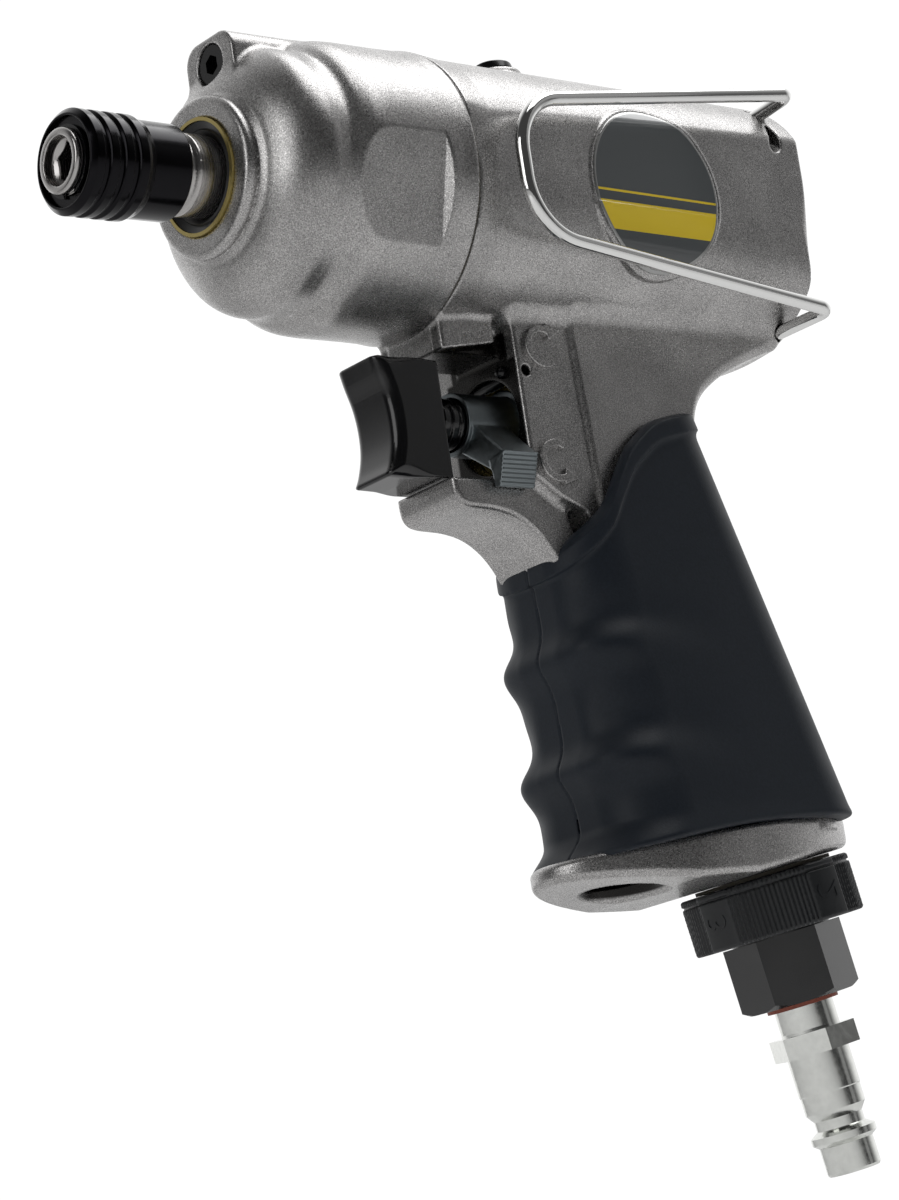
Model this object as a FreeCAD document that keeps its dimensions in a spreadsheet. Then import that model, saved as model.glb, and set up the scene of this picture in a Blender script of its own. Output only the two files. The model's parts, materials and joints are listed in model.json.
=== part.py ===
import FreeCAD, Part
import math
import os
import re

import Sketcher

from FreeCAD import Placement, Rotation, Vector

# Pneumatic pistol impact driver.  Millimetres.  Origin: centre of the anvil's front face.
# +X runs forward out of the hex socket, +Y is the tool's left, +Z is up.
# Bodies on the drive axis are drawn with x = distance behind the origin.

SIZES = [
    ("hex_bit", 6.35),          # across flats of the bit socket
    ("socket_depth", 26.0),
    ("nose_radius", 5.7),
    ("shaft_radius", 6.5),
    ("journal_radius", 7.2),
    ("shoulder", 13.4),         # anvil step that stops the sleeve
    ("sleeve_front", 1.3),
    ("sleeve_rear", 21.9),
    ("sleeve_radius", 9.1),
    ("sleeve_land", 9.0),       # front of the land that holds the ball in
    ("ball_radius", 1.6),
    ("ball_back", 11.5),
    ("boss_front", 28.8),       # front face of the case boss
    ("boss_radius", 14.3),
    ("bush_radius", 10.3),
    ("bush_rear", 44.0),
    ("case_radius", 25.9),
    ("case_joint", 69.5),       # parting line of the two castings
    ("cavity_radius", 18.8),
    ("screw_height", 21.3),
    ("screw_front", 35.4),
    ("gasket", 0.4),
    ("housing_radius", 25.6),
    ("housing_tail_radius", 24.8),
    ("housing_rear", 152.5),
    ("flat_front", 24.0),       # half width over the side flats, front and rear
    ("flat_rear", 21.5),
    ("label_back", 113.0),
    ("label_radius", 15.6),
    ("neck_half", 10.4),
    ("bay_back", 85.0),         # front face of the neck, behind the trigger
    ("ceiling", 30.0),          # underside of the block above the trigger
    ("valve_drop", 41.6),       # valve axis below the drive axis
    ("valve_bore", 8.5),
    ("lip_top", 53.7),
    ("lip_front", 68.6),
    ("lip_half", 8.25),
    ("rake", 11.48),            # grip axis behind the vertical
    ("grip_back", 114.4),       # a point on the grip axis
    ("grip_drop", 27.8),
    ("grip_half", 17.5),
    ("rubber", 2.5),
    ("ring_top", 97.7),         # along the grip axis from that point
    ("ring_bottom", 108.3),
    ("ring_radius", 15.9),
    ("inlet_hex", 19.0),
    ("inlet_end", 121.0),
    ("plug_hex", 14.0),
    ("plug_end", 152.5),
    ("plug_radius", 5.0),
    ("plug_bore", 3.6),
    ("exhaust_radius", 7.1),
    ("wire_radius", 1.3),
    ("rotor_radius", 12.6),
    ("motor_front", 86.0),
    ("motor_rear", 122.0),
]

doc = FreeCAD.newDocument("impact_driver")
sheet = doc.addObject("Spreadsheet::Sheet", "sizes")
for row, (alias, number) in enumerate(SIZES, start=1):
    sheet.set(f"A{row}", alias)
    sheet.set(f"B{row}", str(number))
    sheet.setAlias(f"B{row}", alias)
doc.recompute()
ALIASES = {alias for alias, number in SIZES}


def bound(text):
    """The expression with every alias written as a cell of the sheet."""
    return re.sub(r"[a-z_]+", lambda m: "sizes." + m.group() if m.group() in ALIASES else m.group(),
                  str(text))


def size(text):
    """The value of an expression in the sheet's aliases."""
    return float(sheet.evalExpression(bound(text)))


BACK = Rotation(Vector(0, 0, 1), 180)            # local X -> rearwards, Z stays up
BACK_DOWN = Rotation(Vector(0, 1, 0), 180)       # local X -> rearwards, local Z -> down
Z_BACK = Rotation(Vector(0, 1, 0), -90)          # local Z -> rearwards
Z_LEFT = Rotation(Vector(1, 0, 0), -90)          # local Z -> the tool's left
FRONT_VIEW = Rotation(Vector(1, 1, 0), 180)      # local X -> the tool's left, local Z -> down
RAKE = math.radians(size("rake"))
DOWN = Vector(-math.sin(RAKE), 0, -math.cos(RAKE))
GRIP_POINT = Vector(-size("grip_back"), 0, -size("grip_drop"))
DRIVE_AXIS = Placement(Vector(0, 0, 0), BACK)
SIDE_VIEW = Placement(Vector(0, 0, 0), BACK_DOWN)
GRIP_AXIS = Placement(GRIP_POINT, Rotation(Vector(1, 0, 0), DOWN))
VALVE_AXIS = Placement(Vector(0, 0, -size("valve_drop")), BACK)
EXHAUST_AXIS = Placement(Vector(-99.8, 0, -128), Rotation(Vector(1, 0, 0), Vector(0.03, 0, 1)))
LABEL_AXIS = Placement(Vector(-size("label_back"), 0.35, -2), Rotation(Vector(0, 0, 1), 92.15))
nodes = []
TIE_SIDE, TIE_HEIGHT = 17.75, -10.25      # the rear screws, beside the motor


def bind(thing, **sizes):
    for name, text in sizes.items():
        thing.setExpression(name, bound(text))
    return thing


def draw(sketch, corners):
    """A closed outline: (x, y) corners, or (x, y, r) where the next edge is an arc of radius r,
    positive when the arc turns anticlockwise."""
    places = [(size(c[0]), size(c[1])) for c in corners]
    edges = []
    for i, corner in enumerate(corners):
        a, b = Vector(*places[i], 0), Vector(*places[(i + 1) % len(places)], 0)
        if len(corner) == 2:
            sketch.addGeometry(Part.LineSegment(a, b), False)
            edges.append((1, 2))
            continue
        radius = abs(size(corner[2]))
        chord = b - a
        height = math.sqrt(max(radius ** 2 - (chord.Length / 2) ** 2, 0))
        turn = 1 if size(corner[2]) > 0 else -1
        centre = (a + b) / 2 + Vector(-chord.y, chord.x, 0).normalize() * (turn * height)
        ends = (a, b) if turn > 0 else (b, a)
        angles = [math.atan2(e.y - centre.y, e.x - centre.x) for e in ends]
        if angles[1] < angles[0]:
            angles[1] += 2 * math.pi
        circle = Part.Circle(centre, Vector(0, 0, 1), radius)
        sketch.addGeometry(Part.ArcOfCircle(circle, angles[0], angles[1]), False)
        edges.append((1, 2) if turn > 0 else (2, 1))
    for i, (start, end) in enumerate(edges):
        following = (i + 1) % len(edges)
        sketch.addConstraint(Sketcher.Constraint("Coincident", i, end, following, edges[following][0]))
        for kind, value, text in (("DistanceX", places[i][0], corners[i][0]),
                                  ("DistanceY", places[i][1], corners[i][1])):
            if value == 0:
                axis = -2 if kind == "DistanceX" else -1
                sketch.addConstraint(Sketcher.Constraint("PointOnObject", i, start, axis))
                continue
            index = sketch.addConstraint(Sketcher.Constraint(kind, -1, 1, i, start, value))
            if re.search("[a-z]", str(text)):
                sketch.setExpression(f"Constraints[{index}]", bound(text))
        if len(corners[i]) == 3:
            sketch.addConstraint(Sketcher.Constraint("Radius", i, abs(size(corners[i][2]))))


def body_with_sketch(label, corners, role):
    body = doc.addObject("PartDesign::Body", label)
    body.Label = label
    sketch = body.newObject("Sketcher::SketchObject", label + "_outline")
    plane = next(f for f in body.Origin.OriginFeatures if f.Role == role)
    sketch.AttachmentSupport = [(plane, "")]
    sketch.MapMode = "FlatFace"
    draw(sketch, corners)
    return body, sketch


def turned(label, corners, placement=DRIVE_AXIS):
    """A body turned about its own X axis from an outline of (distance along X, radius)."""
    body, sketch = body_with_sketch(label, corners, "XZ_Plane")
    revolution = body.newObject("PartDesign::Revolution", label + "_turn")
    revolution.Profile = sketch
    revolution.ReferenceAxis = (sketch, ["H_Axis"])
    revolution.Angle = 360
    body.Placement = placement
    return body


def plate(label, corners, width, placement=SIDE_VIEW, role="XZ_Plane"):
    """A body padded equally to both sides of its sketch plane."""
    body, sketch = body_with_sketch(label, corners, role)
    pad = body.newObject("PartDesign::Pad", label + "_pad")
    pad.Profile = sketch
    bind(pad, Length=width)
    pad.SideType = "Symmetric"
    body.Placement = placement
    return body


def at(thing, x, y, z, rotation=Rotation()):
    thing.Placement = Placement(Vector(size(x), size(y), size(z)), rotation)
    for name, text in (("x", x), ("y", y), ("z", z)):
        if re.search("[a-z]", str(text)):
            thing.setExpression("Placement.Base." + name, bound(text))
    return thing


def rod(label, radius, length, x, y, z, rotation=Z_BACK):
    """A cylinder that starts at a point and runs along the rotated Z."""
    return at(bind(doc.addObject("Part::Cylinder", label), Radius=radius, Height=length),
              x, y, z, rotation)


def block(label, back, front, y0, y1, z0, z1):
    """A box from x = -back to x = -front."""
    box = doc.addObject("Part::Box", label)
    bind(box, Length=f"({back}) - ({front})", Width=f"({y1}) - ({y0})", Height=f"({z1}) - ({z0})")
    return at(box, f"-({back})", y0, z0)


def prism(label, across_flats, length, x, y, z, rotation=Z_BACK):
    thing = doc.addObject("Part::Prism", label)
    thing.Polygon = 6
    bind(thing, Circumradius=f"({across_flats}) / sqrt(3)", Height=length)
    return at(thing, x, y, z, rotation)


def fuse(label, *shapes):
    thing = doc.addObject("Part::MultiFuse", label)
    thing.Shapes = list(shapes)
    return thing


def common(label, *shapes):
    thing = doc.addObject("Part::MultiCommon", label)
    thing.Shapes = list(shapes)
    return thing


def cut(label, base, *tools):
    thing = doc.addObject("Part::Cut", label)
    thing.Base = base
    thing.Tool = tools[0] if len(tools) == 1 else fuse(label + "_tools", *tools)
    return thing


def group(label, *shapes):
    thing = doc.addObject("Part::Compound", label)
    thing.Links = list(shapes)
    return thing


def feature(label, shape):
    thing = doc.addObject("Part::Feature", label)
    placement = shape.Placement
    thing.Shape = shape
    thing.Placement = placement
    return thing


def node(thing, name):
    thing.Label = name
    nodes.append(thing)
    return thing


def coil(radius, wire, length, turns, placement):
    """A helical spring along the rotated Z."""
    steps = turns * 12
    turn = 2 * math.pi / 12
    points = [Vector(radius * math.cos(turn * i), radius * math.sin(turn * i), length * i / steps)
              for i in range(steps + 1)]
    helix = Part.BSplineCurve()
    helix.interpolate(points)
    start = helix.tangent(helix.FirstParameter)[0]
    section = Part.Wire(Part.makeCircle(wire, points[0], start))
    shape = Part.Wire(helix.toShape()).makePipeShell([section], True, True)
    shape.Placement = placement
    return shape


def ring(back, front, inner, outer):
    """The outline of a plain ring, for turned()."""
    return [(front, inner), (back, inner), (back, outer), (front, outer)]


# ---------------------------------------------------------------- chuck and anvil
anvil_bar = turned("anvil_bar", [
    (0, 0), ("socket_depth + 36", 0), ("socket_depth + 36", 3.2), (60.5, 3.2), (60.5, 6.6),
    ("bush_rear + 0.6", 6.6), ("bush_rear + 0.6", "journal_radius"), (24.2, "journal_radius"),
    (23.5, "shaft_radius"), ("shoulder", "shaft_radius"), ("shoulder", "nose_radius"),
    (2.1, "nose_radius"), (2.1, 5.2), (1.4, 5.2), (1.4, "nose_radius"),
    (0.7, "nose_radius", 0.7), (0, "nose_radius - 0.7")])
jaw_bar = common("jaw_bar", rod("jaw_round", 10.4, 11.1, -49.4, 0, 0),
                 block("jaw_block", 60.5, 49.4, -3.6, 3.6, -10.6, 10.6))
mouth = doc.addObject("Part::Cone", "mouth")
bind(mouth, Radius1=4.4, Radius2=2.9, Height=1.5)
at(mouth, 0, 0, 0, Z_BACK)
node(cut("anvil", fuse("anvil_solid", anvil_bar, jaw_bar),
         prism("socket", "hex_bit", "socket_depth + 1", 1, 0, 0),
         mouth,
         rod("ball_hole", "ball_radius + 0.05", 8, "-ball_back", 0, 1.5, Rotation())), "anvil")

ring_gap = block("ring_gap", 3, 0.5, -1.6, 1.6, -8, -3)
node(cut("snap_ring", turned("snap_ring_turn", ring(2.0, 1.5, 5.25, 6.3)), ring_gap), "snap_ring")
node(turned("sleeve_washer", ring(2.9, 2.1, "nose_radius + 0.06", 7.6)), "sleeve_washer")
node(feature("sleeve_spring", coil(6.75, 0.3, 5.2, 4, Placement(Vector(-3.3, 0, 0), Z_BACK))),
     "sleeve_spring")
ball = doc.addObject("Part::Sphere", "ball")
bind(ball, Radius="ball_radius")
node(at(ball, "-ball_back", 0, "nose_radius - ball_radius + 0.03"), "locking_ball")

rib_pitch = 2.93
rib_outline = [("sleeve_front", 7.75), ("sleeve_front", 8.3), (2.4, "sleeve_radius")]
for k in range(3):
    crest = 4.2 + k * rib_pitch
    rib_outline += [(round(crest + 1.1, 2), "sleeve_radius"), (round(crest + 1.45, 2), 8.55),
                    (round(crest + 1.85, 2), 8.55), (round(crest + 2.2, 2), "sleeve_radius")]
node(turned("chuck_sleeve", rib_outline + [
    (14.3, "sleeve_radius"), (14.9, 8.4), ("sleeve_rear - 0.3", 8.4), ("sleeve_rear", 8.1),
    ("sleeve_rear", "shaft_radius + 0.07"), (16.6, "shaft_radius + 0.07"), (16.2, 7.3), (13.4, 7.3),
    (13.0, "nose_radius + 0.07"), ("sleeve_land", "nose_radius + 0.07"), ("sleeve_land", 7.75)]),
    "chuck_sleeve")

# ---------------------------------------------------------------- front casting and its bush
node(turned("anvil_seal", [
    (29.2, "journal_radius + 1.2"), (28.9, "journal_radius + 0.9"), (29.6, "journal_radius + 0.08"),
    (32.4, "journal_radius + 0.08"), (32.4, 9.6), (28.7, 9.6)]), "anvil_seal")
node(turned("anvil_bush", [
    (28.3, 9.65), (28.3, "bush_radius"), ("bush_rear", "bush_radius"),
    ("bush_rear", "journal_radius + 0.05"), (32.6, "journal_radius + 0.05"), (32.6, 9.65)]),
    "anvil_bush")

case_shell = turned("case_shell", [
    ("boss_front", 10.34), ("bush_rear + 0.1", 10.34), ("bush_rear + 0.1", 15.5),
    (46.4, "cavity_radius"), ("case_joint", "cavity_radius"), ("case_joint", "case_radius + 0.4"),
    (60, "case_radius"), (52, "case_radius"), (49, 25.5), (46, 24.5), (42.5, 24.0, 9.5),
    (33.4, 17.6), (32.4, 14.6), (30.2, "boss_radius", 1.4), ("boss_front", "boss_radius - 1.4")])
screw_boss = block("screw_boss", 62, 34.4, -6.4, 6.4, 12, 26.6)
boss_round = doc.addObject("Part::Fillet", "boss_round")
doc.recompute()


def edges_where(thing, test):
    return [(i + 1, e) for i, e in enumerate(thing.Shape.Edges) if test(e)]


def along_x_high(edge):
    middle = edge.CenterOfMass
    return abs(edge.tangentAt(0).x) > 0.9 and middle.z > 26


boss_round.Base = screw_boss
boss_round.Edges = [(i, 4.5, 4.5) for i, e in edges_where(screw_boss, along_x_high)]
doc.recompute()
case_solid = fuse("case_solid", case_shell, boss_round)
side_pads = []
for side in (1, -1):
    pad_tool = doc.addObject("Part::Box", f"side_pad_{'left' if side > 0 else 'right'}")
    bind(pad_tool, Length=15, Width=10, Height=17)
    tilt = Rotation(Vector(1, 0, 0), -17 * side)
    outward = tilt.multVec(Vector(0, side, 0))
    upward = tilt.multVec(Vector(0, 0, 1))
    start = outward * (23.8 if side > 0 else 33.8) + upward * -8.5
    pad_tool.Placement = Placement(Vector(-64, 0, 0) + start, tilt)
    side_pads.append(pad_tool)
cavity_again = rod("cavity_again", "cavity_radius", "case_joint - 46.4", -46.4, 0, 0)
node(cut("hammer_case", case_solid, cavity_again,
         rod("screw_hole", 2.1, 40, "-screw_front + 1", 0, "screw_height"),
         rod("screw_counterbore", 3.7, 4.6, -34, 0, "screw_height"),
         rod("lower_hole_left", 1.52, 14, -56, TIE_SIDE, TIE_HEIGHT),
         rod("lower_hole_right", 1.52, 14, -56, -TIE_SIDE, TIE_HEIGHT), *side_pads), "hammer_case")
gasket_ring = turned("gasket_ring", ring("case_joint + gasket", "case_joint", "cavity_radius", 25.7))
node(cut("case_gasket", gasket_ring,
         rod("gasket_hole_top", 2.2, 4, -68, 0, "screw_height"),
         rod("gasket_hole_left", 1.6, 4, -68, TIE_SIDE, TIE_HEIGHT),
         rod("gasket_hole_right", 1.6, 4, -68, -TIE_SIDE, TIE_HEIGHT)), "case_gasket")


def cap_screw(label, thread, back, y, z, length, rotation):
    """Cap screw of a thread size: head from back inwards, hexagon socket, shank."""
    sign = 1 if rotation == Z_BACK else -1
    tall = 0.95 * thread
    head = rod(label + "_head", 0.875 * thread, tall, -back, y, z, rotation)
    shank = rod(label + "_shank", thread / 2, length, -back - sign * tall, y, z, rotation)
    recess = prism(label + "_recess", 0.8 * thread, 0.75 * thread, -back + sign * 0.6, y, z, rotation)
    return cut(label, fuse(label + "_solid", head, shank), recess)


node(cap_screw("top_case_screw", 4, 34.8, 0, 21.3, 48, Z_BACK), "top_case_screw")
Z_FORWARD = Rotation(Vector(0, 1, 0), 90)
node(group("rear_case_screws",
           cap_screw("rear_screw_left", 3, 149.4, TIE_SIDE, TIE_HEIGHT, 88, Z_FORWARD),
           cap_screw("rear_screw_right", 3, 149.4, -TIE_SIDE, TIE_HEIGHT, 88, Z_FORWARD)), "rear_case_screws")

# ---------------------------------------------------------------- motor housing with its handle
barrel = turned("barrel", [
    ("case_joint + gasket", 0), ("housing_rear", 0), ("housing_rear", "housing_tail_radius - 2.5", 2.5),
    ("housing_rear - 2.5", "housing_tail_radius"), ("case_joint + 6", "housing_radius"),
    ("case_joint + gasket", "housing_radius + 0.5")])
front_block = block("front_block", 82.2, "case_joint + gasket + 0.1", -8.7, 8.7, "-ceiling", -14)
front_bridge = block("front_bridge", 88, 80, -5.6, 5.6, "-ceiling", -14)
NECK = [("bay_back", 14), ("bay_back", 50.5), (87.5, 57), (91, 63), (129.4, 63), (127.4, 50),
        (127.2, 40.5, -12), (134.5, 31.8), (143, 27.6), (150, 24.8), (151.5, 20), (151, 14)]
neck = plate("neck", NECK, "2 * neck_half")
shoulders = plate("shoulders", [
    (99, 16), (99, 60), (126, 60), (126.6, 50), (126.9, 40.5, -12), (134.5, 31.8), (143, 27.6),
    (149, 24.6), (149, 16)], "2 * neck_half + 1.6")
LIP = [("lip_front", "lip_top"), ("bay_back + 6", "lip_top"), ("bay_back + 6", 68), (87.5, 66.5, -7),
       (80.5, 59.6), (72.0, 58.2, -3.0)]
lip = plate("lip", LIP, "2 * lip_half")


def handle(label, top, bottom, toe, grow, radius):
    """The handle as a tapered block with rounded long edges, grown all round; its front reaches
    down by toe more than its rear."""
    side = plate(label + "_side", [
        (f"90.6 - {grow}", top), (f"125.4 + {grow}", top), (f"146.0 + {grow}", bottom),
        (f"91.4 - {grow}", bottom + toe)], "2 * grip_half + 10")
    front = plate(label + "_front", [
        (f"30 - 12.4 - {grow}", top), (f"30 + 12.4 + {grow}", top),
        (f"30 + grip_half - rubber + {grow}", bottom + toe),
        (f"30 - grip_half + rubber - {grow}", bottom + toe)],
        140, Placement(Vector(-115, -30, 0), FRONT_VIEW))
    solid = common(label + "_block", side, front)
    doc.recompute()
    rounded = doc.addObject("Part::Fillet", label)
    rounded.Base = solid
    rounded.Edges = [(i, radius, radius) for i, e in edges_where(
        solid, lambda e: abs(e.tangentAt(0).z) > 0.9 and e.Length > 40)]
    return rounded


core = handle("core", 46, 117, 5, 0, 10.5)
foot_oval = bind(doc.addObject("Part::Ellipse", "foot_oval"), MajorRadius=35.4, MinorRadius=17.4)
at(foot_oval, -117.2, 0, -132)
foot_prism = doc.addObject("Part::Extrusion", "foot_prism")
foot_prism.Base = foot_oval
foot_prism.Dir = Vector(0, 0, 1)
foot_prism.Solid = True
bind(foot_prism, LengthFwd=24)
foot_side = plate("foot_side", [
    (78, 121.6), (80.6, 124.6), (104.5, 126.4), (117.5, 126.0), (158, 117.8), (158, 113.6),
    (100, 119.6)], 40)
foot = common("foot", foot_prism, foot_side)
label_pad = turned("label_pad", [
    (12, 0), (24.45, 0), (24.45, "label_radius - 0.5"), (24.15, "label_radius"), (12, "label_radius")],
    LABEL_AXIS)
plug_boss = rod("plug_boss", 5.2, 6, -99, 0, 21.5, Rotation())

flats = []
flat_angle = math.degrees(math.atan((size("flat_front") - size("flat_rear")) / 66.6))
for side in (1, -1):
    flat = doc.addObject("Part::Box", f"flat_{'left' if side > 0 else 'right'}")
    bind(flat, Length=100, Width=12, Height=60)
    turn = Rotation(Vector(0, 0, 1), flat_angle * side)
    corner = Vector(-70, side * (size("flat_front") + 0.6), -30)
    shift = turn.multVec(Vector(-100, 0 if side > 0 else -12, 0))
    flat.Placement = Placement(corner + shift, turn)
    flats.append(flat)
barrel_flat = cut("barrel_flat", barrel, *flats)
housing_solid = fuse("housing_solid", barrel_flat, front_block, front_bridge, neck, shoulders, lip, core, foot,
                     label_pad, plug_boss)
motor_bore = turned("motor_bore", [
    (60, 0), (132, 0), (132, 9), (129.2, 9), (129.2, "cavity_radius"), (60, "cavity_radius")])
valve_well = turned("valve_well", [
    (60, 0), (124.4, 0), (124.4, 6.2), (112.2, 6.2), (112.2, "valve_bore"), (60, "valve_bore")],
    VALVE_AXIS)
inlet_way = turned("inlet_way", [
    (14, 0), (120, 0), (120, 8.2), (84, 8.2), (84, 5), (14, 5)], GRIP_AXIS)
exhaust_way = turned("exhaust_way", [
    (0, 0), (72, 0), (72, 4.2), (20, 4.2), (18, "exhaust_radius"), (0, "exhaust_radius")], EXHAUST_AXIS)
label_recess = turned("label_recess", [
    (23.95, 0), (30, 0), (30, "label_radius - 0.9"), (23.95, "label_radius - 0.9")], LABEL_AXIS)
housing_cuts = [
    motor_bore, valve_well, inlet_way, exhaust_way, label_recess,
    rod("case_screw_hole", 2.02, 27, -60, 0, "screw_height"),
    rod("port_forward", 2.2, 30, -96, 0, -44, Rotation()),
    rod("port_reverse", 2.2, 30, -106, 0, -44, Rotation()),
    rod("pin_hole", 1.05, 30, -86.8, -15, -33.9, Z_LEFT),
    rod("stop_hole", 1.25, 10, -84, 6.0, -33.2),
    rod("plug_hole", 3.3, 8, -99, 0, 22, Rotation()),
    rod("groove_top", 1.5, 60, -148.2, -30, 18.2, Z_LEFT),
    rod("groove_low", 1.45, 30, -149.6, 8.0, -22.6, Z_LEFT)]
for side, name in ((1, "left"), (-1, "right")):
    housing_cuts.append(rod(f"tie_hole_{name}", 1.56, 90, -65, side * TIE_SIDE, TIE_HEIGHT))
    housing_cuts.append(rod(f"tie_seat_{name}", 2.8, 14, -146.5, side * TIE_SIDE, TIE_HEIGHT))
node(cut("motor_housing", housing_solid, *housing_cuts), "motor_housing")

node(turned("label_plate", [(24.0, 0), (24.4, 0), (24.4, "label_radius - 1"),
                            (24.0, "label_radius - 1")], LABEL_AXIS), "label_plate")
node(turned("oil_plug", [(0, 0), (8.0, 0), (8.0, 2.4), (7.0, 4.2), (5.6, 4.2), (5.6, 3.25), (0, 3.25)],
            Placement(Vector(-99, 0, 22.1), Rotation(Vector(1, 0, 0), Vector(0, 0, 1)))), "oil_plug")

# ---------------------------------------------------------------- hammer mechanism
cage_rear = turned("cage_rear", ring(68.9, 64.8, 4.35, 18.4))
cage_front = turned("cage_front", ring(49.0, 46.9, 7.4, 18.4))
cage_wall = common("cage_wall", turned("cage_tube", ring(68.9, 46.9, 16.6, 18.4)),
                   block("cage_windows", 70, 45, -20, 20, -11, 11))
pin_holes = [rod(f"pin_hole_{k}", 2.25, 24, -45.5, 0, 15.5 * s) for k, s in ((1, 1), (2, -1))]
node(cut("hammer_cage", fuse("cage_solid", cage_front, cage_rear, cage_wall), *pin_holes), "hammer_cage")
node(group("hammer_pins", *[rod(f"hammer_pin_{k}", 2.2, 22.4, -46.7, 0, 15.5 * s)
                            for k, s in ((1, 1), (2, -1))]), "hammer_pins")


def hammer(label, back, front):
    """A swinging hammer: ring, two side weights, two inner striking dogs, ears at the pins."""
    rim = turned(label + "_rim", ring(back, front, 10.9, 13.1))
    weights = common(label + "_weights", turned(label + "_weight_ring", ring(back, front, 12.5, 16.3)),
                     block(label + "_weight_block", back, front, -20, 20, -7.5, 7.5))
    dogs = common(label + "_dogs", turned(label + "_dog_ring", ring(back, front, 7.2, 11.2)),
                  block(label + "_dog_block", back, front, -12, 12, -3, 3))
    return fuse(label, rim, weights, dogs)


node(hammer("front_hammer", 56.6, 49.4), "front_hammer")
node(hammer("rear_hammer", 64.3, 57.1), "rear_hammer")

# ---------------------------------------------------------------- vane motor
rotor_bar = turned("rotor_bar", [
    (65.2, 0), (131.6, 0), (131.6, 3.9), ("motor_rear - 0.2", 3.9), ("motor_rear - 0.2", "rotor_radius"),
    ("motor_front + 0.2", "rotor_radius"), ("motor_front + 0.2", 4.95), (71, 4.95), (71, 4.3),
    (65.2, 4.3)])


def around_axis(thing, angle):
    """Turn a box about the drive axis."""
    turn = Placement(Vector(0, 0, 0), Rotation(Vector(1, 0, 0), angle))
    thing.Placement = turn.multiply(thing.Placement)
    return thing


vane_boxes = []
slot_boxes = []
for k in range(5):
    slot = block(f"slot_{k}", 122.5, 85.5, -0.85, 0.85, 6.4, 13)
    vane = block(f"vane_{k}", 121.6, 86.4, -0.78, 0.78, 6.6, 12.5)
    doc.recompute()
    for box in (slot, vane):
        for name in ("x", "y", "z"):
            box.setExpression("Placement.Base." + name, None)
        around_axis(box, 72 * k)
    slot_boxes.append(slot)
    vane_boxes.append(vane)
node(cut("rotor", rotor_bar, *slot_boxes), "rotor")
node(group("vanes", *vane_boxes), "vanes")

cylinder_round = turned("cylinder_round", [
    ("motor_front", 0), ("motor_rear", 0), ("motor_rear", 18.7), ("motor_front", 18.7)])
node(cut("motor_cylinder", cylinder_round,
         rod("cylinder_bore", 14.3, 40, -84, 0, -1.4),
         rod("cylinder_port_1", 2.0, 12, -96, 0, -24, Rotation()),
         rod("cylinder_port_2", 2.0, 12, -106, 0, -24, Rotation()),
         rod("dowel_hole", 1.05, 8, -82, 0, 16.6)), "motor_cylinder")
front_plate_turn = turned("front_plate_turn", [
    (73.6, 9.55), (80.4, 9.55), (80.4, 5.6), ("motor_front - 0.05", 5.6),
    ("motor_front - 0.05", 18.7), (73.6, 18.7)])
node(cut("front_end_plate", front_plate_turn, rod("dowel_seat", 1.05, 3.6, -83, 0, 16.6)),
     "front_end_plate")
node(rod("locating_dowel", 1.0, 6.4, -83.2, 0, 16.6), "locating_dowel")
node(turned("rear_end_plate", [
    ("motor_rear + 0.05", 4.6), (123.6, 4.6), (123.6, 8.05), (129.1, 8.05), (129.1, 18.7),
    ("motor_rear + 0.05", 18.7)]), "rear_end_plate")


def ball_bearing(label, back, front, inner, outer):
    """Inner ring, outer ring and balls of a deep groove bearing, as three sub-parts."""
    pitch = (inner + outer) / 2
    middle = (back + front) / 2
    bead = (outer - inner) * 0.27
    gap = (outer - inner) * 0.18
    groove = bead + 0.06
    reach = math.sqrt(groove ** 2 - gap ** 2)
    node(turned(label + "_inner", [
        (front, inner), (back, inner), (back, pitch - gap), (middle + reach, pitch - gap, -groove),
        (middle - reach, pitch - gap), (front, pitch - gap)]), label + "_inner")
    node(turned(label + "_outer", [
        (front, pitch + gap), (middle - reach, pitch + gap, -groove), (middle + reach, pitch + gap),
        (back, pitch + gap), (back, outer), (front, outer)]), label + "_outer")
    beads = []
    for k in range(7):
        bead_ball = doc.addObject("Part::Sphere", f"{label}_ball_{k}")
        bind(bead_ball, Radius=bead)
        angle = 2 * math.pi * k / 7
        at(bead_ball, -middle, pitch * math.cos(angle), pitch * math.sin(angle))
        beads.append(bead_ball)
    node(group(label + "_balls", *beads), label + "_balls")


ball_bearing("front_bearing", 80.2, 74.2, 5.0, 9.5)
ball_bearing("rear_bearing", 129.0, 124.0, 3.95, 8.0)

# ---------------------------------------------------------------- trigger, reverse lever, valve
paddle = plate("paddle", [
    (58.6, 31.4), (70.2, 32.0), (70.2, 52.4), (62.5, 53.2), (57.2, 53.2), (57.4, 49.5, -24),
    (57.4, 33.5)], 12.4)
doc.recompute()
paddle_round = doc.addObject("Part::Fillet", "paddle_round")
paddle_round.Base = paddle
paddle_round.Edges = [(i, 1.6, 1.6) for i, e in edges_where(
    paddle, lambda e: e.CenterOfMass.x > -61.5 and abs(e.CenterOfMass.y) > 6)]
stem_neck = turned("stem_neck", [
    (69, 0), (80.0, 0), (80.0, 4.6), (75.4, 4.6), (75.2, 4.2), (74.6, 4.2), (74.4, 4.6), (73.4, 4.6),
    (73.2, 4.2), (72.6, 4.2), (72.4, 4.6), (69, 4.6)], VALVE_AXIS)
node(cut("trigger_button", fuse("trigger_solid", paddle_round, stem_neck),
         rod("stem_socket", 2.45, 12, -70.5, 0, "-valve_drop")), "trigger_button")
node(turned("trigger_stem", [(70.7, 0), (112.8, 0), (112.8, 2.4), (70.7, 2.4)], VALVE_AXIS),
     "trigger_stem")
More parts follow.
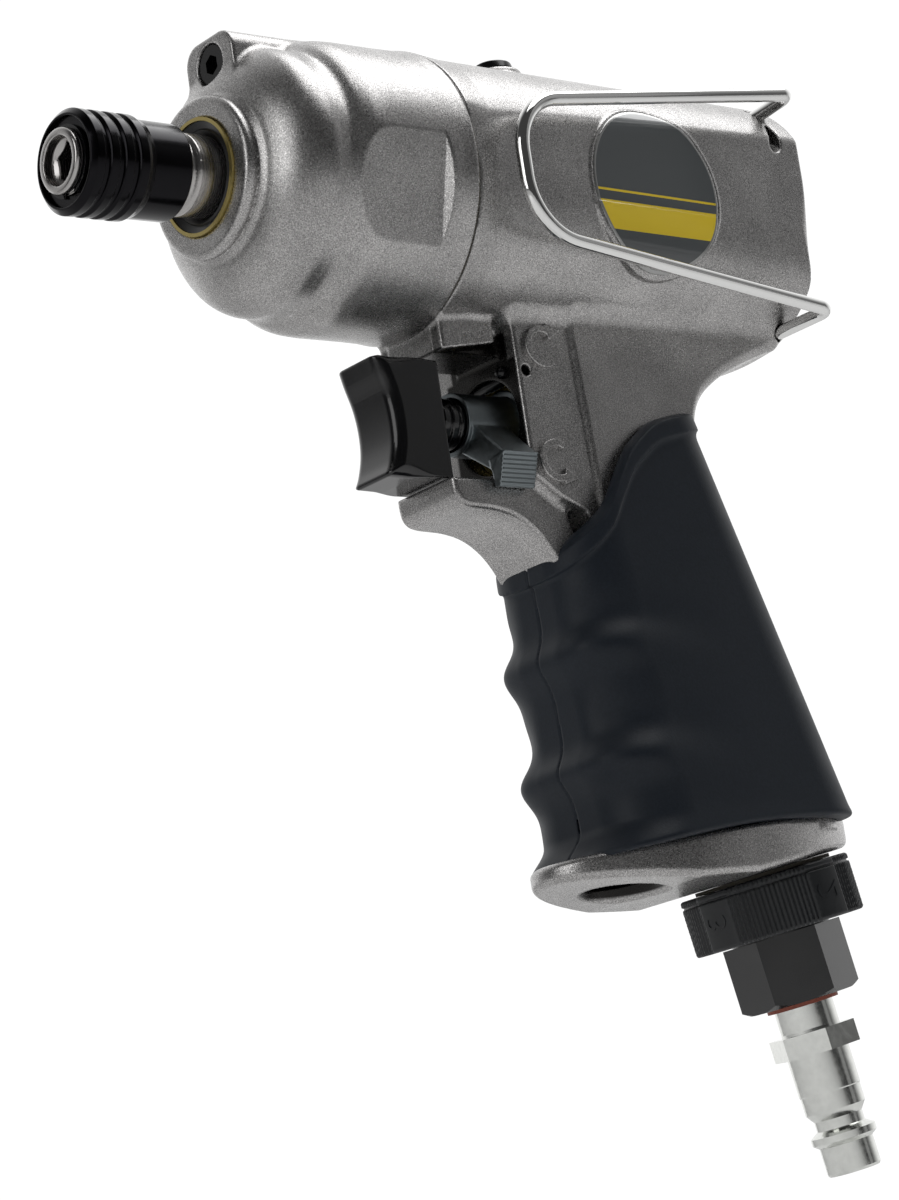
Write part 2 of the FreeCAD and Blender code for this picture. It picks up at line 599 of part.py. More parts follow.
node(turned("throttle_valve", [
    (112.85, 0), (116.8, 0), (116.8, 3.0), (114.6, 3.0), (114.6, 5.6), (112.85, 5.6)], VALVE_AXIS),
    "throttle_valve")
node(feature("throttle_spring", coil(4.2, 0.45, 8.6, 5,
                                     Placement(Vector(-115.1, 0, -size("valve_drop")), Z_BACK))),
     "throttle_spring")
lever_hub = turned("lever_hub", [
    (75.3, 4.85), (75.3, 5.7), (88.6, 5.7), (88.6, 6.9), (90.4, 6.9), (90.4, 2.6), (86.0, 2.6),
    (86.0, 4.85)], VALVE_AXIS)
ARM_VIEW = Placement(Vector(-80.9, 0, 0), FRONT_VIEW)
lever_arm = plate("lever_arm", [(1.2, 47.3), (5.8, 43.2), (12.6, 50.0), (8.4, 52.6)], 7.8, ARM_VIEW)
lever_pad = plate("lever_pad", [(8.4, 50.6), (12.6, 49.9), (10.3, 55.9), (8.7, 55.4)], 7.8, ARM_VIEW)
node(fuse("reverse_lever", lever_hub, lever_arm, lever_pad), "reverse_lever")
valve_tube = turned("valve_tube", ring(109.5, 90.5, 4.4, 6.93), VALVE_AXIS)
node(cut("reverse_valve", valve_tube,
         rod("valve_window_1", 2.0, 8, -96, 0, -38, Rotation()),
         rod("valve_window_2", 2.0, 8, -106, 0, -38, Rotation())), "reverse_valve")
bush_tube = turned("bush_tube", ring(112.1, 88.4, 7.0, 8.42), VALVE_AXIS)
node(cut("valve_bush", bush_tube,
         rod("bush_window_1", 2.0, 8, -96, 0, -38, Rotation()),
         rod("bush_window_2", 2.0, 8, -106, 0, -38, Rotation())), "valve_bush")
node(rod("retaining_pin", 1.0, 13.2, -86.8, -9, -33.9, Z_LEFT), "retaining_pin")
stop_dome = doc.addObject("Part::Sphere", "stop_dome")
bind(stop_dome, Radius=1.2)
at(stop_dome, -84.6, 6.0, -33.2)
node(fuse("lever_stop_pin", rod("stop_stem", 1.2, 8, -84.6, 6.0, -33.2), stop_dome), "lever_stop_pin")

# ---------------------------------------------------------------- grip, regulator and air inlet
grip_outer = handle("grip_outer", 34, 122, 0, 2.5, 13)
grip_shape = plate("grip_shape", [
    (70, 72), (91, 63.6), (99, 55.4), (108, 46.6), (118, 41.6), (126, 38.6), (140, 38.2), (165, 110.4),
    (165, 112.9), (100, 119.6), (70, 122.7)], 50)
node(cut("rubber_grip", common("grip_block", grip_outer, grip_shape), housing_solid), "rubber_grip")

node(turned("regulator_ring", [
    ("ring_top", 9.2), ("ring_bottom", 9.2), ("ring_bottom", "ring_radius - 1.0"),
    ("ring_bottom - 1.0", "ring_radius"), ("ring_top + 0.5", "ring_radius"),
    ("ring_top", "ring_radius - 0.5")], GRIP_AXIS), "regulator_ring")
shank = turned("inlet_shank", [
    (84.2, 0), (110, 0), (110, 9.1), (97.2, 9.1), (97.2, 8.15), (84.2, 8.15)], GRIP_AXIS)
Z_ALONG_GRIP = Rotation(Vector(0, 0, 1), DOWN)


def on_grip(distance):
    return GRIP_POINT + DOWN * distance


hexagon = doc.addObject("Part::Prism", "inlet_hexagon")
hexagon.Polygon = 6
bind(hexagon, Circumradius="inlet_hex / sqrt(3)", Height="inlet_end - ring_bottom - 0.2")
hexagon.Placement = Placement(on_grip(size("ring_bottom + 0.2")),
                              Z_ALONG_GRIP.multiply(Rotation(Vector(0, 0, 1), -20)))
chamfered = turned("hex_chamfer", [
    ("ring_bottom", 0), ("inlet_end", 0), ("inlet_end", 9.6), ("inlet_end - 1.0", 11.2),
    ("ring_bottom", 11.2)], GRIP_AXIS)
inlet_bore = turned("inlet_bore", [
    (80, 0), (130, 0), (130, 4.9), (104, 4.9), (100, 3.6), (80, 3.6)], GRIP_AXIS)
node(cut("inlet_bushing", fuse("inlet_solid", shank, common("inlet_nut", hexagon, chamfered)),
         inlet_bore), "inlet_bushing")
node(turned("inlet_seal", ring("ring_top - 0.05", "ring_top - 0.7", 9.3, 12.6), GRIP_AXIS), "inlet_seal")
node(turned("inlet_screen", ring(99.5, 93, 2.6, 3.5), GRIP_AXIS), "inlet_screen")
node(turned("fibre_washer", ring("inlet_end + 0.75", "inlet_end + 0.02", 4.95, 6.6), GRIP_AXIS),
     "fibre_washer")
plug_turn = turned("plug_turn", [
    (105, "plug_bore"), ("plug_end", "plug_bore"), ("plug_end", "plug_radius - 0.3"),
    ("plug_end - 0.5", "plug_radius"), (147.2, "plug_radius"), (146.4, 6.05), (145.2, 6.05),
    (144.2, 4.5), (142.4, 4.5), (140.9, 5.6), (137.7, 5.6), (137.5, 5.75), (130.4, 5.75), (126, 5.45),
    ("inlet_end + 0.8", 5.45), ("inlet_end + 0.8", 4.85), (105, 4.85)], GRIP_AXIS)
plug_nut = doc.addObject("Part::Prism", "plug_nut")
plug_nut.Polygon = 6
bind(plug_nut, Circumradius="plug_hex / sqrt(3)", Height=4)
plug_nut.Placement = Placement(on_grip(126.5), Z_ALONG_GRIP.multiply(Rotation(Vector(0, 0, 1), -4)))
plug_nut_bore = turned("plug_nut_bore", [(124, 0), (132, 0), (132, 5), (124, 5)], GRIP_AXIS)
node(fuse("plug_nipple", plug_turn, cut("plug_nut_ring", plug_nut, plug_nut_bore)), "plug_nipple")
node(turned("exhaust_silencer", ring(34, 24, 1.6, 4.1), EXHAUST_AXIS), "exhaust_silencer")

# ---------------------------------------------------------------- belt hook of bent wire
HOOK = [Vector(-148.2, 14.0, 18.2), Vector(-148.2, 25.8, 19.2), Vector(-77.6, 28.8, 9.0),
        Vector(-77.6, 28.8, -15.1), Vector(-149.6, 25.2, -22.6), Vector(-149.6, 11.4, -22.6)]
BENDS = [2.6, 11.5, 11.5, 2.6]


def bent_wire(points, radii, radius):
    """A round wire along straight runs joined by tangent arcs."""
    path = []
    start = points[0]
    for before, corner, after, bend in zip(points, points[1:], points[2:], radii):
        into = (corner - before).normalize()
        out = (after - corner).normalize()
        half = into.getAngle(out) / 2
        reach = bend * math.tan(half)
        first, last = corner - into * reach, corner + out * reach
        inward = (out - into).normalize()
        middle = corner + inward * (bend / math.cos(half) - bend)
        path += [Part.LineSegment(start, first).toShape(), Part.Arc(first, middle, last).toShape()]
        start = last
    path.append(Part.LineSegment(start, points[-1]).toShape())
    across = Part.Wire(Part.makeCircle(radius, points[0], points[1] - points[0]))
    return Part.Wire(path).makePipeShell([across], True, False)


node(feature("wire_hook", bent_wire(HOOK, BENDS, size("wire_radius"))), "wire_hook")

# ---------------------------------------------------------------- recompute, check, export
doc.recompute()
for thing in doc.Objects:
    assert "Invalid" not in thing.State and "Error" not in thing.State, (thing.Name, thing.State)
os.makedirs("parts", exist_ok=True)
for thing in nodes:
    shape = thing.Shape
    assert not shape.isNull() and shape.isValid() and shape.Volume > 0, thing.Label
    shape.exportStep(f"parts/{thing.Label}.step")
    box = shape.BoundBox
    print(f"{thing.Label:20s} solids {len(shape.Solids):2d} volume {shape.Volume:9.1f} "
          f"x {box.XMin:7.1f} {box.XMax:7.1f} y {box.YMin:6.1f} {box.YMax:6.1f} "
          f"z {box.ZMin:7.1f} {box.ZMax:7.1f}")
print("nodes", len(nodes))
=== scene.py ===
import math

import bpy
import numpy as np
from mathutils import Matrix, Vector
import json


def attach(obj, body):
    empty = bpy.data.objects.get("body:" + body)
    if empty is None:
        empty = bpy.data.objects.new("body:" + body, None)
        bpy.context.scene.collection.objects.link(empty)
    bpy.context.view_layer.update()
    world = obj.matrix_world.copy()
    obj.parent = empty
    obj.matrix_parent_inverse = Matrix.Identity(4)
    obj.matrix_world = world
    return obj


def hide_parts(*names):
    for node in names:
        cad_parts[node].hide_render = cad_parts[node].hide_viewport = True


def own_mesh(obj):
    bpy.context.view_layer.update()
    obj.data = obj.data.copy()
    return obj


# Looks for the pneumatic impact driver.  Shapes are written in millimetres and scaled to metres
# when a mesh is made.  In the profiles, b is the distance behind the anvil's front face and s
# runs down the grip axis.

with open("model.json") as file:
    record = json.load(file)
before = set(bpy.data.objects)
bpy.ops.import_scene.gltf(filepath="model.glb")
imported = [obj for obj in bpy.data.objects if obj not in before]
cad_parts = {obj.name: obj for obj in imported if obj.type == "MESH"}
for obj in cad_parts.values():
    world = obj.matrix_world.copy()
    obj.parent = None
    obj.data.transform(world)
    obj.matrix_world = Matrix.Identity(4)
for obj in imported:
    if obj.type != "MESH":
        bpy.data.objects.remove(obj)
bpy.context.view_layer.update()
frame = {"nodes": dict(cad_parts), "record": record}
nodes = frame["nodes"]

MM = 0.001

# grid cells of the meshes
FINE = 0.34        # castings and grip
ANVIL_CELL = 0.24
RING_CELL = 0.22
TRIGGER_CELL, LABEL_CELL, LEVER_CELL, ARROW_CELL = 0.28, 0.22, 0.16, 0.16

# the grip's axis and the valve's height
RAKE = math.radians(11.48)
GRIP_POINT = np.array([-114.4, 0.0, -27.8])
GRIP_DOWN = np.array([-math.sin(RAKE), 0.0, -math.cos(RAKE)])
VALVE_Z = -41.6

# barrel
SIDE_FLAT, FLAT_FROM, FLAT_TAPER = 24.0, 86, 0.0379
MOTOR_BORE = 18.8
LABEL_B, LABEL_Z, LABEL_R = 113.0, -2.0, 15.2
OIL_PLUG_B = 99
TOP_SCREW_Z = 21.3
TIE_Y, TIE_Z = 17.75, -10.25
HOOK_UPPER, HOOK_LOWER = (-148.2, 18.2), (-149.6, -22.6)        # x and z of the belt hook's ends

# neck and handle
CHEEK_Y = 10.2
STOP_PIN = (0, 6.0, -33.2)
FOOT_B, FOOT_LONG, FOOT_WIDE = 117.2, 35.05, 17.35
THREAD_R, THREAD_PITCH, THREAD_DEPTH = 6.75, 1.5, 0.42

# regulator ring
RING_R, RING_S, RING_HALF = 15.75, 103.0, 5.25
TEETH, TOOTH_DEPTH = 112, 0.42


# ------------------------------------------------------------------ signed distance toolbox
def fillet(a, b, r):
    """Union of two distances with a concave fillet of radius r."""
    u = np.maximum(r - a, 0)
    v = np.maximum(r - b, 0)
    return np.maximum(r, np.minimum(a, b)) - np.sqrt(u * u + v * v)


def rounded(a, b, r):
    """Intersection of two distances with a rounded edge of radius r."""
    u = np.maximum(r + a, 0)
    v = np.maximum(r + b, 0)
    return np.minimum(-r, np.maximum(a, b)) + np.sqrt(u * u + v * v)


def carve(a, b, r):
    """a without b, the edge rounded by r."""
    return rounded(a, -b, r)


def step(x, lo, hi):
    """A smooth rise from 0 at lo to 1 at hi."""
    t = np.clip((x - lo) / (hi - lo), 0, 1)
    return t * t * (3 - 2 * t)


def polygon(u, v, points):
    """Signed distance to a closed outline."""
    pts = np.asarray(points, float)
    nxt = np.roll(pts, -1, axis=0)
    best = np.full(u.shape, 1e18)
    sign = np.ones(u.shape)
    for (ax, ay), (bx, by) in zip(pts, nxt):
        ex, ey = bx - ax, by - ay
        length = ex * ex + ey * ey
        if length < 1e-12:
            continue
        wx, wy = u - ax, v - ay
        t = np.clip((wx * ex + wy * ey) / length, 0, 1)
        dx, dy = wx - ex * t, wy - ey * t
        best = np.minimum(best, dx * dx + dy * dy)
        c1, c2, c3 = v >= ay, v < by, ex * wy > ey * wx
        flip = (c1 & c2 & c3) | (~c1 & ~c2 & ~c3)
        sign = np.where(flip, -sign, sign)
    return sign * np.sqrt(best)


def outline(corners, steps=6):
    """Corner points (x, y) or (x, y, r); a corner with r is rounded to that radius."""
    n = len(corners)
    out = []
    for i, c in enumerate(corners):
        if len(c) == 2:
            out.append((c[0], c[1]))
            continue
        p = np.array(c[:2], float)
        a = np.array(corners[i - 1][:2], float) - p
        b = np.array(corners[(i + 1) % n][:2], float) - p
        la, lb = np.linalg.norm(a), np.linalg.norm(b)
        a, b = a / la, b / lb
        half = math.acos(max(-1, min(1, float(a @ b)))) / 2
        reach = min(c[2] / math.tan(half), 0.49 * la, 0.49 * lb)
        r = reach * math.tan(half)
        mid = (a + b) / np.linalg.norm(a + b)
        centre = p + mid * r / math.sin(half)
        start, end = p + a * reach, p + b * reach
        a0 = math.atan2(*(start - centre)[::-1])
        a1 = math.atan2(*(end - centre)[::-1])
        turn = (a1 - a0 + math.pi) % (2 * math.pi) - math.pi
        for k in range(steps + 1):
            t = a0 + turn * k / steps
            out.append((centre[0] + r * math.cos(t), centre[1] + r * math.sin(t)))
    return out


def spline(points, steps=8):
    """An open smooth curve through the points."""
    p = [np.array(q, float) for q in points]
    p = [2 * p[0] - p[1]] + p + [2 * p[-1] - p[-2]]
    out = []
    for i in range(1, len(p) - 2):
        for k in range(steps):
            t = k / steps
            out.append(tuple(0.5 * (2 * p[i] + (p[i + 1] - p[i - 1]) * t
                                    + (2 * p[i - 1] - 5 * p[i] + 4 * p[i + 1] - p[i + 2]) * t * t
                                    + (3 * p[i] - p[i - 1] - 3 * p[i + 1] + p[i + 2]) * t ** 3)))
    out.append(tuple(p[-2]))
    return out


def smax(a, b, k):
    """Intersection with a soft edge that leaves both faces alone away from it."""
    h = np.maximum(k - np.abs(a - b), 0) / k
    return np.maximum(a, b) + h * h * k * 0.25


def capsule(p, a, b, r):
    """A round-ended rod from a to b."""
    a, b = np.array(a, float), np.array(b, float)
    d = b - a
    t = np.clip((p - a) @ d / (d @ d), 0, 1)
    return np.linalg.norm(p - a - t[:, None] * d, axis=1) - r


def rod(p, origin, axis, radius, s0, s1):
    """A flat-ended cylinder from s0 to s1 along the axis."""
    axis = np.array(axis, float)
    axis /= np.linalg.norm(axis)
    w = p - np.array(origin, float)
    s = w @ axis
    r = np.linalg.norm(w - s[:, None] * axis, axis=1)
    a, b = r - radius, np.abs(s - (s0 + s1) / 2) - (s1 - s0) / 2
    return np.minimum(np.maximum(a, b), 0) + np.hypot(np.maximum(a, 0), np.maximum(b, 0))


# ------------------------------------------------------------------ placements
def axes(place):
    """The unit axes of a placement: origin, first axis, a direction near the second."""
    x, y = place[1:]
    x = np.array(x, float) / np.linalg.norm(x)
    y = np.array(y, float) - x * (np.array(y, float) @ x)
    y /= np.linalg.norm(y)
    return np.stack([x, y, np.cross(x, y)])


def transform(verts, place):
    """Points in a placement's own coordinates, moved into the frame."""
    return np.array(place[0], float) + verts @ axes(place)


def local(p, place):
    """Points of the frame in a placement's own coordinates."""
    return (p - np.array(place[0], float)) @ axes(place).T


DRIVE = ((0, 0, 0), (-1, 0, 0), (0, 1, 0))
GRIP = (GRIP_POINT, GRIP_DOWN, (0, 1, 0))
EXHAUST = ((-99.8, 0, -128), (0.03, 0, 1), (0, 1, 0))


# ------------------------------------------------------------------ meshes
def new_object(name, verts, faces, smooth=True):
    """A mesh object from points in millimetres."""
    verts = np.ascontiguousarray(verts, dtype=np.float32)
    mesh = bpy.data.meshes.new(name)
    mesh.vertices.add(len(verts))
    mesh.vertices.foreach_set("co", (verts * MM).ravel())
    if isinstance(faces, np.ndarray):
        width = faces.shape[1]
        starts = np.arange(len(faces)) * width
        flat = faces.ravel()
    else:
        lengths = np.array([len(f) for f in faces])
        starts = np.concatenate([[0], np.cumsum(lengths)[:-1]])
        flat = np.array([i for f in faces for i in f])
    mesh.loops.add(len(flat))
    mesh.loops.foreach_set("vertex_index", flat.astype(np.int32))
    mesh.polygons.add(len(starts))
    mesh.polygons.foreach_set("loop_start", starts.astype(np.int32))
    mesh.update(calc_edges=True)
    mesh.validate()
    mesh.shade_smooth() if smooth else mesh.shade_flat()
    obj = bpy.data.objects.new(name, mesh)
    bpy.context.scene.collection.objects.link(obj)
    return obj


CORNERS = np.array([[i, j, k] for i in (0, 1) for j in (0, 1) for k in (0, 1)])
EDGES = [(a, b) for a in range(8) for b in range(a + 1, 8)
         if np.abs(CORNERS[a] - CORNERS[b]).sum() == 1]


def surface(name, f, lo, hi, cell=None):
    """The zero surface of a distance function inside a box, as a quad mesh."""
    cell = cell or FINE
    lo, hi = np.array(lo, float), np.array(hi, float)
    n = np.ceil((hi - lo) / cell).astype(int) + 1
    # the field, filled point by point only in blocks that the surface can reach
    size = 10
    blocks = -(-n // size)
    field = np.full(blocks * size, 1e3, np.float32)
    centres = np.stack(np.meshgrid(*[np.arange(k) for k in blocks], indexing="ij"), -1).reshape(-1, 3)
    middle = lo + (centres * size + (size - 1) / 2) * cell
    value = f(middle)
    near = np.abs(value) < cell * (size * 0.5 * 1.75 * 1.25 + 1.5)
    tile = np.stack(np.meshgrid(*[np.arange(size)] * 3, indexing="ij"), -1).reshape(-1, 3)
    for c, v in zip(centres[~near], value[~near]):
        i, j, k = c * size
        field[i:i + size, j:j + size, k:k + size] = v
    todo = centres[near]
    for start in range(0, len(todo), 300):
        part = todo[start:start + 300]
        index = part[:, None, :] * size + tile[None]
        v = f(lo + index.reshape(-1, 3) * cell)
        index = index.reshape(-1, 3)
        field[index[:, 0], index[:, 1], index[:, 2]] = v
    # one vertex in every cell that the surface crosses
    inside = field < 0
    count = np.zeros(tuple(np.array(field.shape) - 1), np.int8)
    for c in CORNERS:
        count += inside[c[0]:inside.shape[0] - 1 + c[0], c[1]:inside.shape[1] - 1 + c[1],
                        c[2]:inside.shape[2] - 1 + c[2]]
    cells = np.argwhere((count > 0) & (count < 8))
    number = np.full(count.shape, -1, np.int64)
    number[cells[:, 0], cells[:, 1], cells[:, 2]] = np.arange(len(cells))
    at = cells[:, None, :] + CORNERS[None]
    vals = field[at[..., 0], at[..., 1], at[..., 2]].astype(float)
    total = np.zeros((len(cells), 3))
    hits = np.zeros(len(cells))
    for a, b in EDGES:
        cross = (vals[:, a] < 0) != (vals[:, b] < 0)
        t = vals[:, a] / np.where(cross, vals[:, a] - vals[:, b], 1)
        total += np.where(cross[:, None], CORNERS[a] + t[:, None] * (CORNERS[b] - CORNERS[a]), 0)
        hits += cross
    verts = lo + (cells + total / hits[:, None]) * cell
    # two Newton steps onto the surface, a batch at a time
    h = cell * 0.15
    batch = 200000
    for start in list(range(0, len(verts), batch)) * 2:
        q = verts[start:start + batch]
        grad = np.stack([f(q + e) - f(q - e) for e in np.eye(3) * h], 1) / (2 * h)
        steep = np.maximum((grad ** 2).sum(1), 0.05)
        move = -(f(q) / steep)[:, None] * grad
        far = np.linalg.norm(move, axis=1)
        move *= np.minimum(1, 0.45 * cell / np.maximum(far, 1e-9))[:, None]
        verts[start:start + batch] = q + move
    # a quad round every grid edge that the surface crosses
    quads = []
    for axis in range(3):
        u, w = [a for a in range(3) if a != axis]
        a = [slice(1, -1)] * 3
        a[axis] = slice(0, -1)
        b = list(a)
        b[axis] = slice(1, None)
        first, second = inside[tuple(a)], inside[tuple(b)]
        e = np.argwhere(first != second)
        out = first[e[:, 0], e[:, 1], e[:, 2]]
        base = e + 1
        base[:, axis] -= 1
        ring = []
        for du, dw in ((-1, -1), (0, -1), (0, 0), (-1, 0)):
            c = base.copy()
            c[:, u] += du
            c[:, w] += dw
            ring.append(number[c[:, 0], c[:, 1], c[:, 2]])
        ring = np.stack(ring, 1)
        if axis == 1:
            out = ~out
        ring[~out] = ring[~out][:, ::-1]
        quads.append(ring)
    quads = np.concatenate(quads)
    quads = quads[(quads >= 0).all(1)]
    return new_object(name, verts, quads)


def lathe(name, profile, place, segments=96):
    """Turns a closed profile of (distance along the axis, radius) about the axis of place."""
    n = len(profile)
    angle = np.linspace(0, 2 * math.pi, segments, endpoint=False)
    rows = []
    for s, r in profile:
        rows.append(np.stack([np.full(segments, s), r * np.cos(angle), r * np.sin(angle)], 1))
    verts = np.concatenate(rows)
    faces = []
    j = np.arange(segments)
    k = (j + 1) % segments
    for i in range(n):
        a, b = i * segments, ((i + 1) % n) * segments
        faces.append(np.stack([a + j, b + j, b + k, a + k], 1))
    faces = np.concatenate(faces)
    return new_object(name, transform(verts, place), faces)


# ------------------------------------------------------------------ front casting
CASE = outline([(28.8, -6), (28.8, 14.3, 1.4), (31.4, 14.2, 0.8)], 6) + spline([
    (32.3, 14.9), (32.8, 16.4), (33.9, 18.6), (35.7, 20.8), (38.0, 22.6), (40.5, 23.4), (43.0, 23.3),
    (45.0, 23.5), (47.0, 24.8), (49.4, 25.65), (52.5, 25.9)], 5) + outline([
        (62, 25.9), (66.5, 26.0), (69.45, 26.3, 0.3), (69.45, -6)], 5)


def handle_core(p):
    """The metal core of the handle, under the rubber."""
    b, y, z = -p[:, 0], p[:, 1], p[:, 2]
    drop = -z
    front = 91.4 + 0.012 * (drop - 46)
    rear = 125.0 + 0.291 * (drop - 46)
    wide = 12.2 + 0.0366 * (drop - 46)
    middle, reach = (front + rear) / 2, (rear - front) / 2
    q1, q2 = np.abs(b - middle) - (reach - 10), np.abs(y) - (wide - 10)
    return 0.95 * (np.hypot(np.maximum(q1, 0), np.maximum(q2, 0)) + np.minimum(np.maximum(q1, q2), 0) - 10)


# the upper edge of the rubber, as drop against b
EDGE = spline([(80, 71.5), (87.0, 68.0), (91.6, 64.8), (97.0, 59.9), (101.0, 53.8), (104.5, 48.8),
               (108, 45.6), (112, 42.9), (118, 41.2), (124, 39.6), (130, 38.2), (136, 37.4)], 6)
EDGE_B, EDGE_DROP = np.array(EDGE).T


def hammer_case(p):
    """The front casting, with its screw boss on top and a flat pad on each side."""
    b, y, z = -p[:, 0], p[:, 1], p[:, 2]
    r = np.hypot(y, z)
    d = polygon(b, r, CASE)
    boss = rounded(rounded(np.abs(y) - 7.0, z - 26.2, 3.8), 34.4 - b, 0.5)
    boss = np.maximum(boss, np.maximum(b - 66, 12 - z))
    d = fillet(d, boss, 0.9)
    tilt = math.radians(17)
    for side in (1, -1):
        out = side * y * math.cos(tilt) - z * math.sin(tilt) - 23.9
        rear = ((b - 63.2) - 0.6 * out) / 1.17
        d = carve(d, np.maximum(-out, rear), 0.1)
    d = carve(d, rod(p, (-34.0, 0, TOP_SCREW_Z), (-1, 0, 0), 3.75, -2, 5.0), 0.25)
    d = np.maximum(d, 10.34 - r)
    return np.maximum(d, -np.maximum(r - MOTOR_BORE, 46.4 - b))


# ------------------------------------------------------------------ rear casting
BARREL = outline([
    (69.9, -6), (69.9, 26.15, 0.3), (71.6, 26.0), (75.5, 25.6), (149, 24.75, 20),
    (152.4, 24.6, 0.45), (152.4, -6)], 8)
NECK = [(85, 14), (85, 50.5), (85.6, 53.3), (91, 57.1), (95.8, 59.4), (100, 64), (129.8, 64)] + spline([
    (126.0, 50), (125.3, 45.0), (125.9, 40.3), (128.8, 35.8), (134.2, 31.8), (140.5, 28.7), (147, 26.2),
    (150, 24.9), (151.5, 20.5)], 5) + [(151, 14)]
LIP = [(68.4, 53.7), (92, 53.7), (96, 69), (91.5, 72)] + spline([
    (90.0, 70.0), (88.8, 67.5), (86.6, 64.2), (84.0, 61.8), (81.0, 60.2), (77.0, 59.3), (72.0, 59.0),
    (69.8, 58.4), (68.7, 57.0), (68.4, 55.0)], 4)
FOOT = outline([(78.6, 121.4), (80.4, 124.4, 1.2), (104.5, 126.4, 1.5), (117.5, 126.0, 1.5), (157.4, 117.9),
                (158, 113.2), (125, 116.4), (100, 119.4, 8)])


def label_frame(p):
    """Across the label: distance from its middle, and height over the side flat."""
    b = -p[:, 0]
    return np.hypot(b - LABEL_B, p[:, 2] - LABEL_Z), p[:, 1] + FLAT_TAPER * (b - FLAT_FROM) - SIDE_FLAT


def barrel(p):
    """The barrel with its flattened sides, which round off below."""
    b, y, z = -p[:, 0], p[:, 1], p[:, 2]
    d = polygon(b, np.hypot(y, z), BARREL)
    flat = (np.abs(y) + FLAT_TAPER * (b - FLAT_FROM) - SIDE_FLAT) / 1.0007
    return smax(d, flat, 0.5 + 3.4 * step(-z, -5, 12))


def arrow(p, bx, z0, head):
    """A raised curved arrow on the cheek, opening to the rear."""
    u, v = -p[:, 0] - bx, p[:, 2] - z0
    r = np.hypot(u, v)
    angle = np.abs(np.arctan2(v, u))
    stroke = np.maximum(np.abs(r - 3.3) - 0.68, (0.95 - angle) * 3.0)
    tip = polygon(u, v * head, [(0.9, 4.3), (4.6, 3.2), (1.6, 1.3)])
    return rounded(np.minimum(stroke, tip), np.abs(p[:, 1] - CHEEK_Y) - 1.12, 0.14)


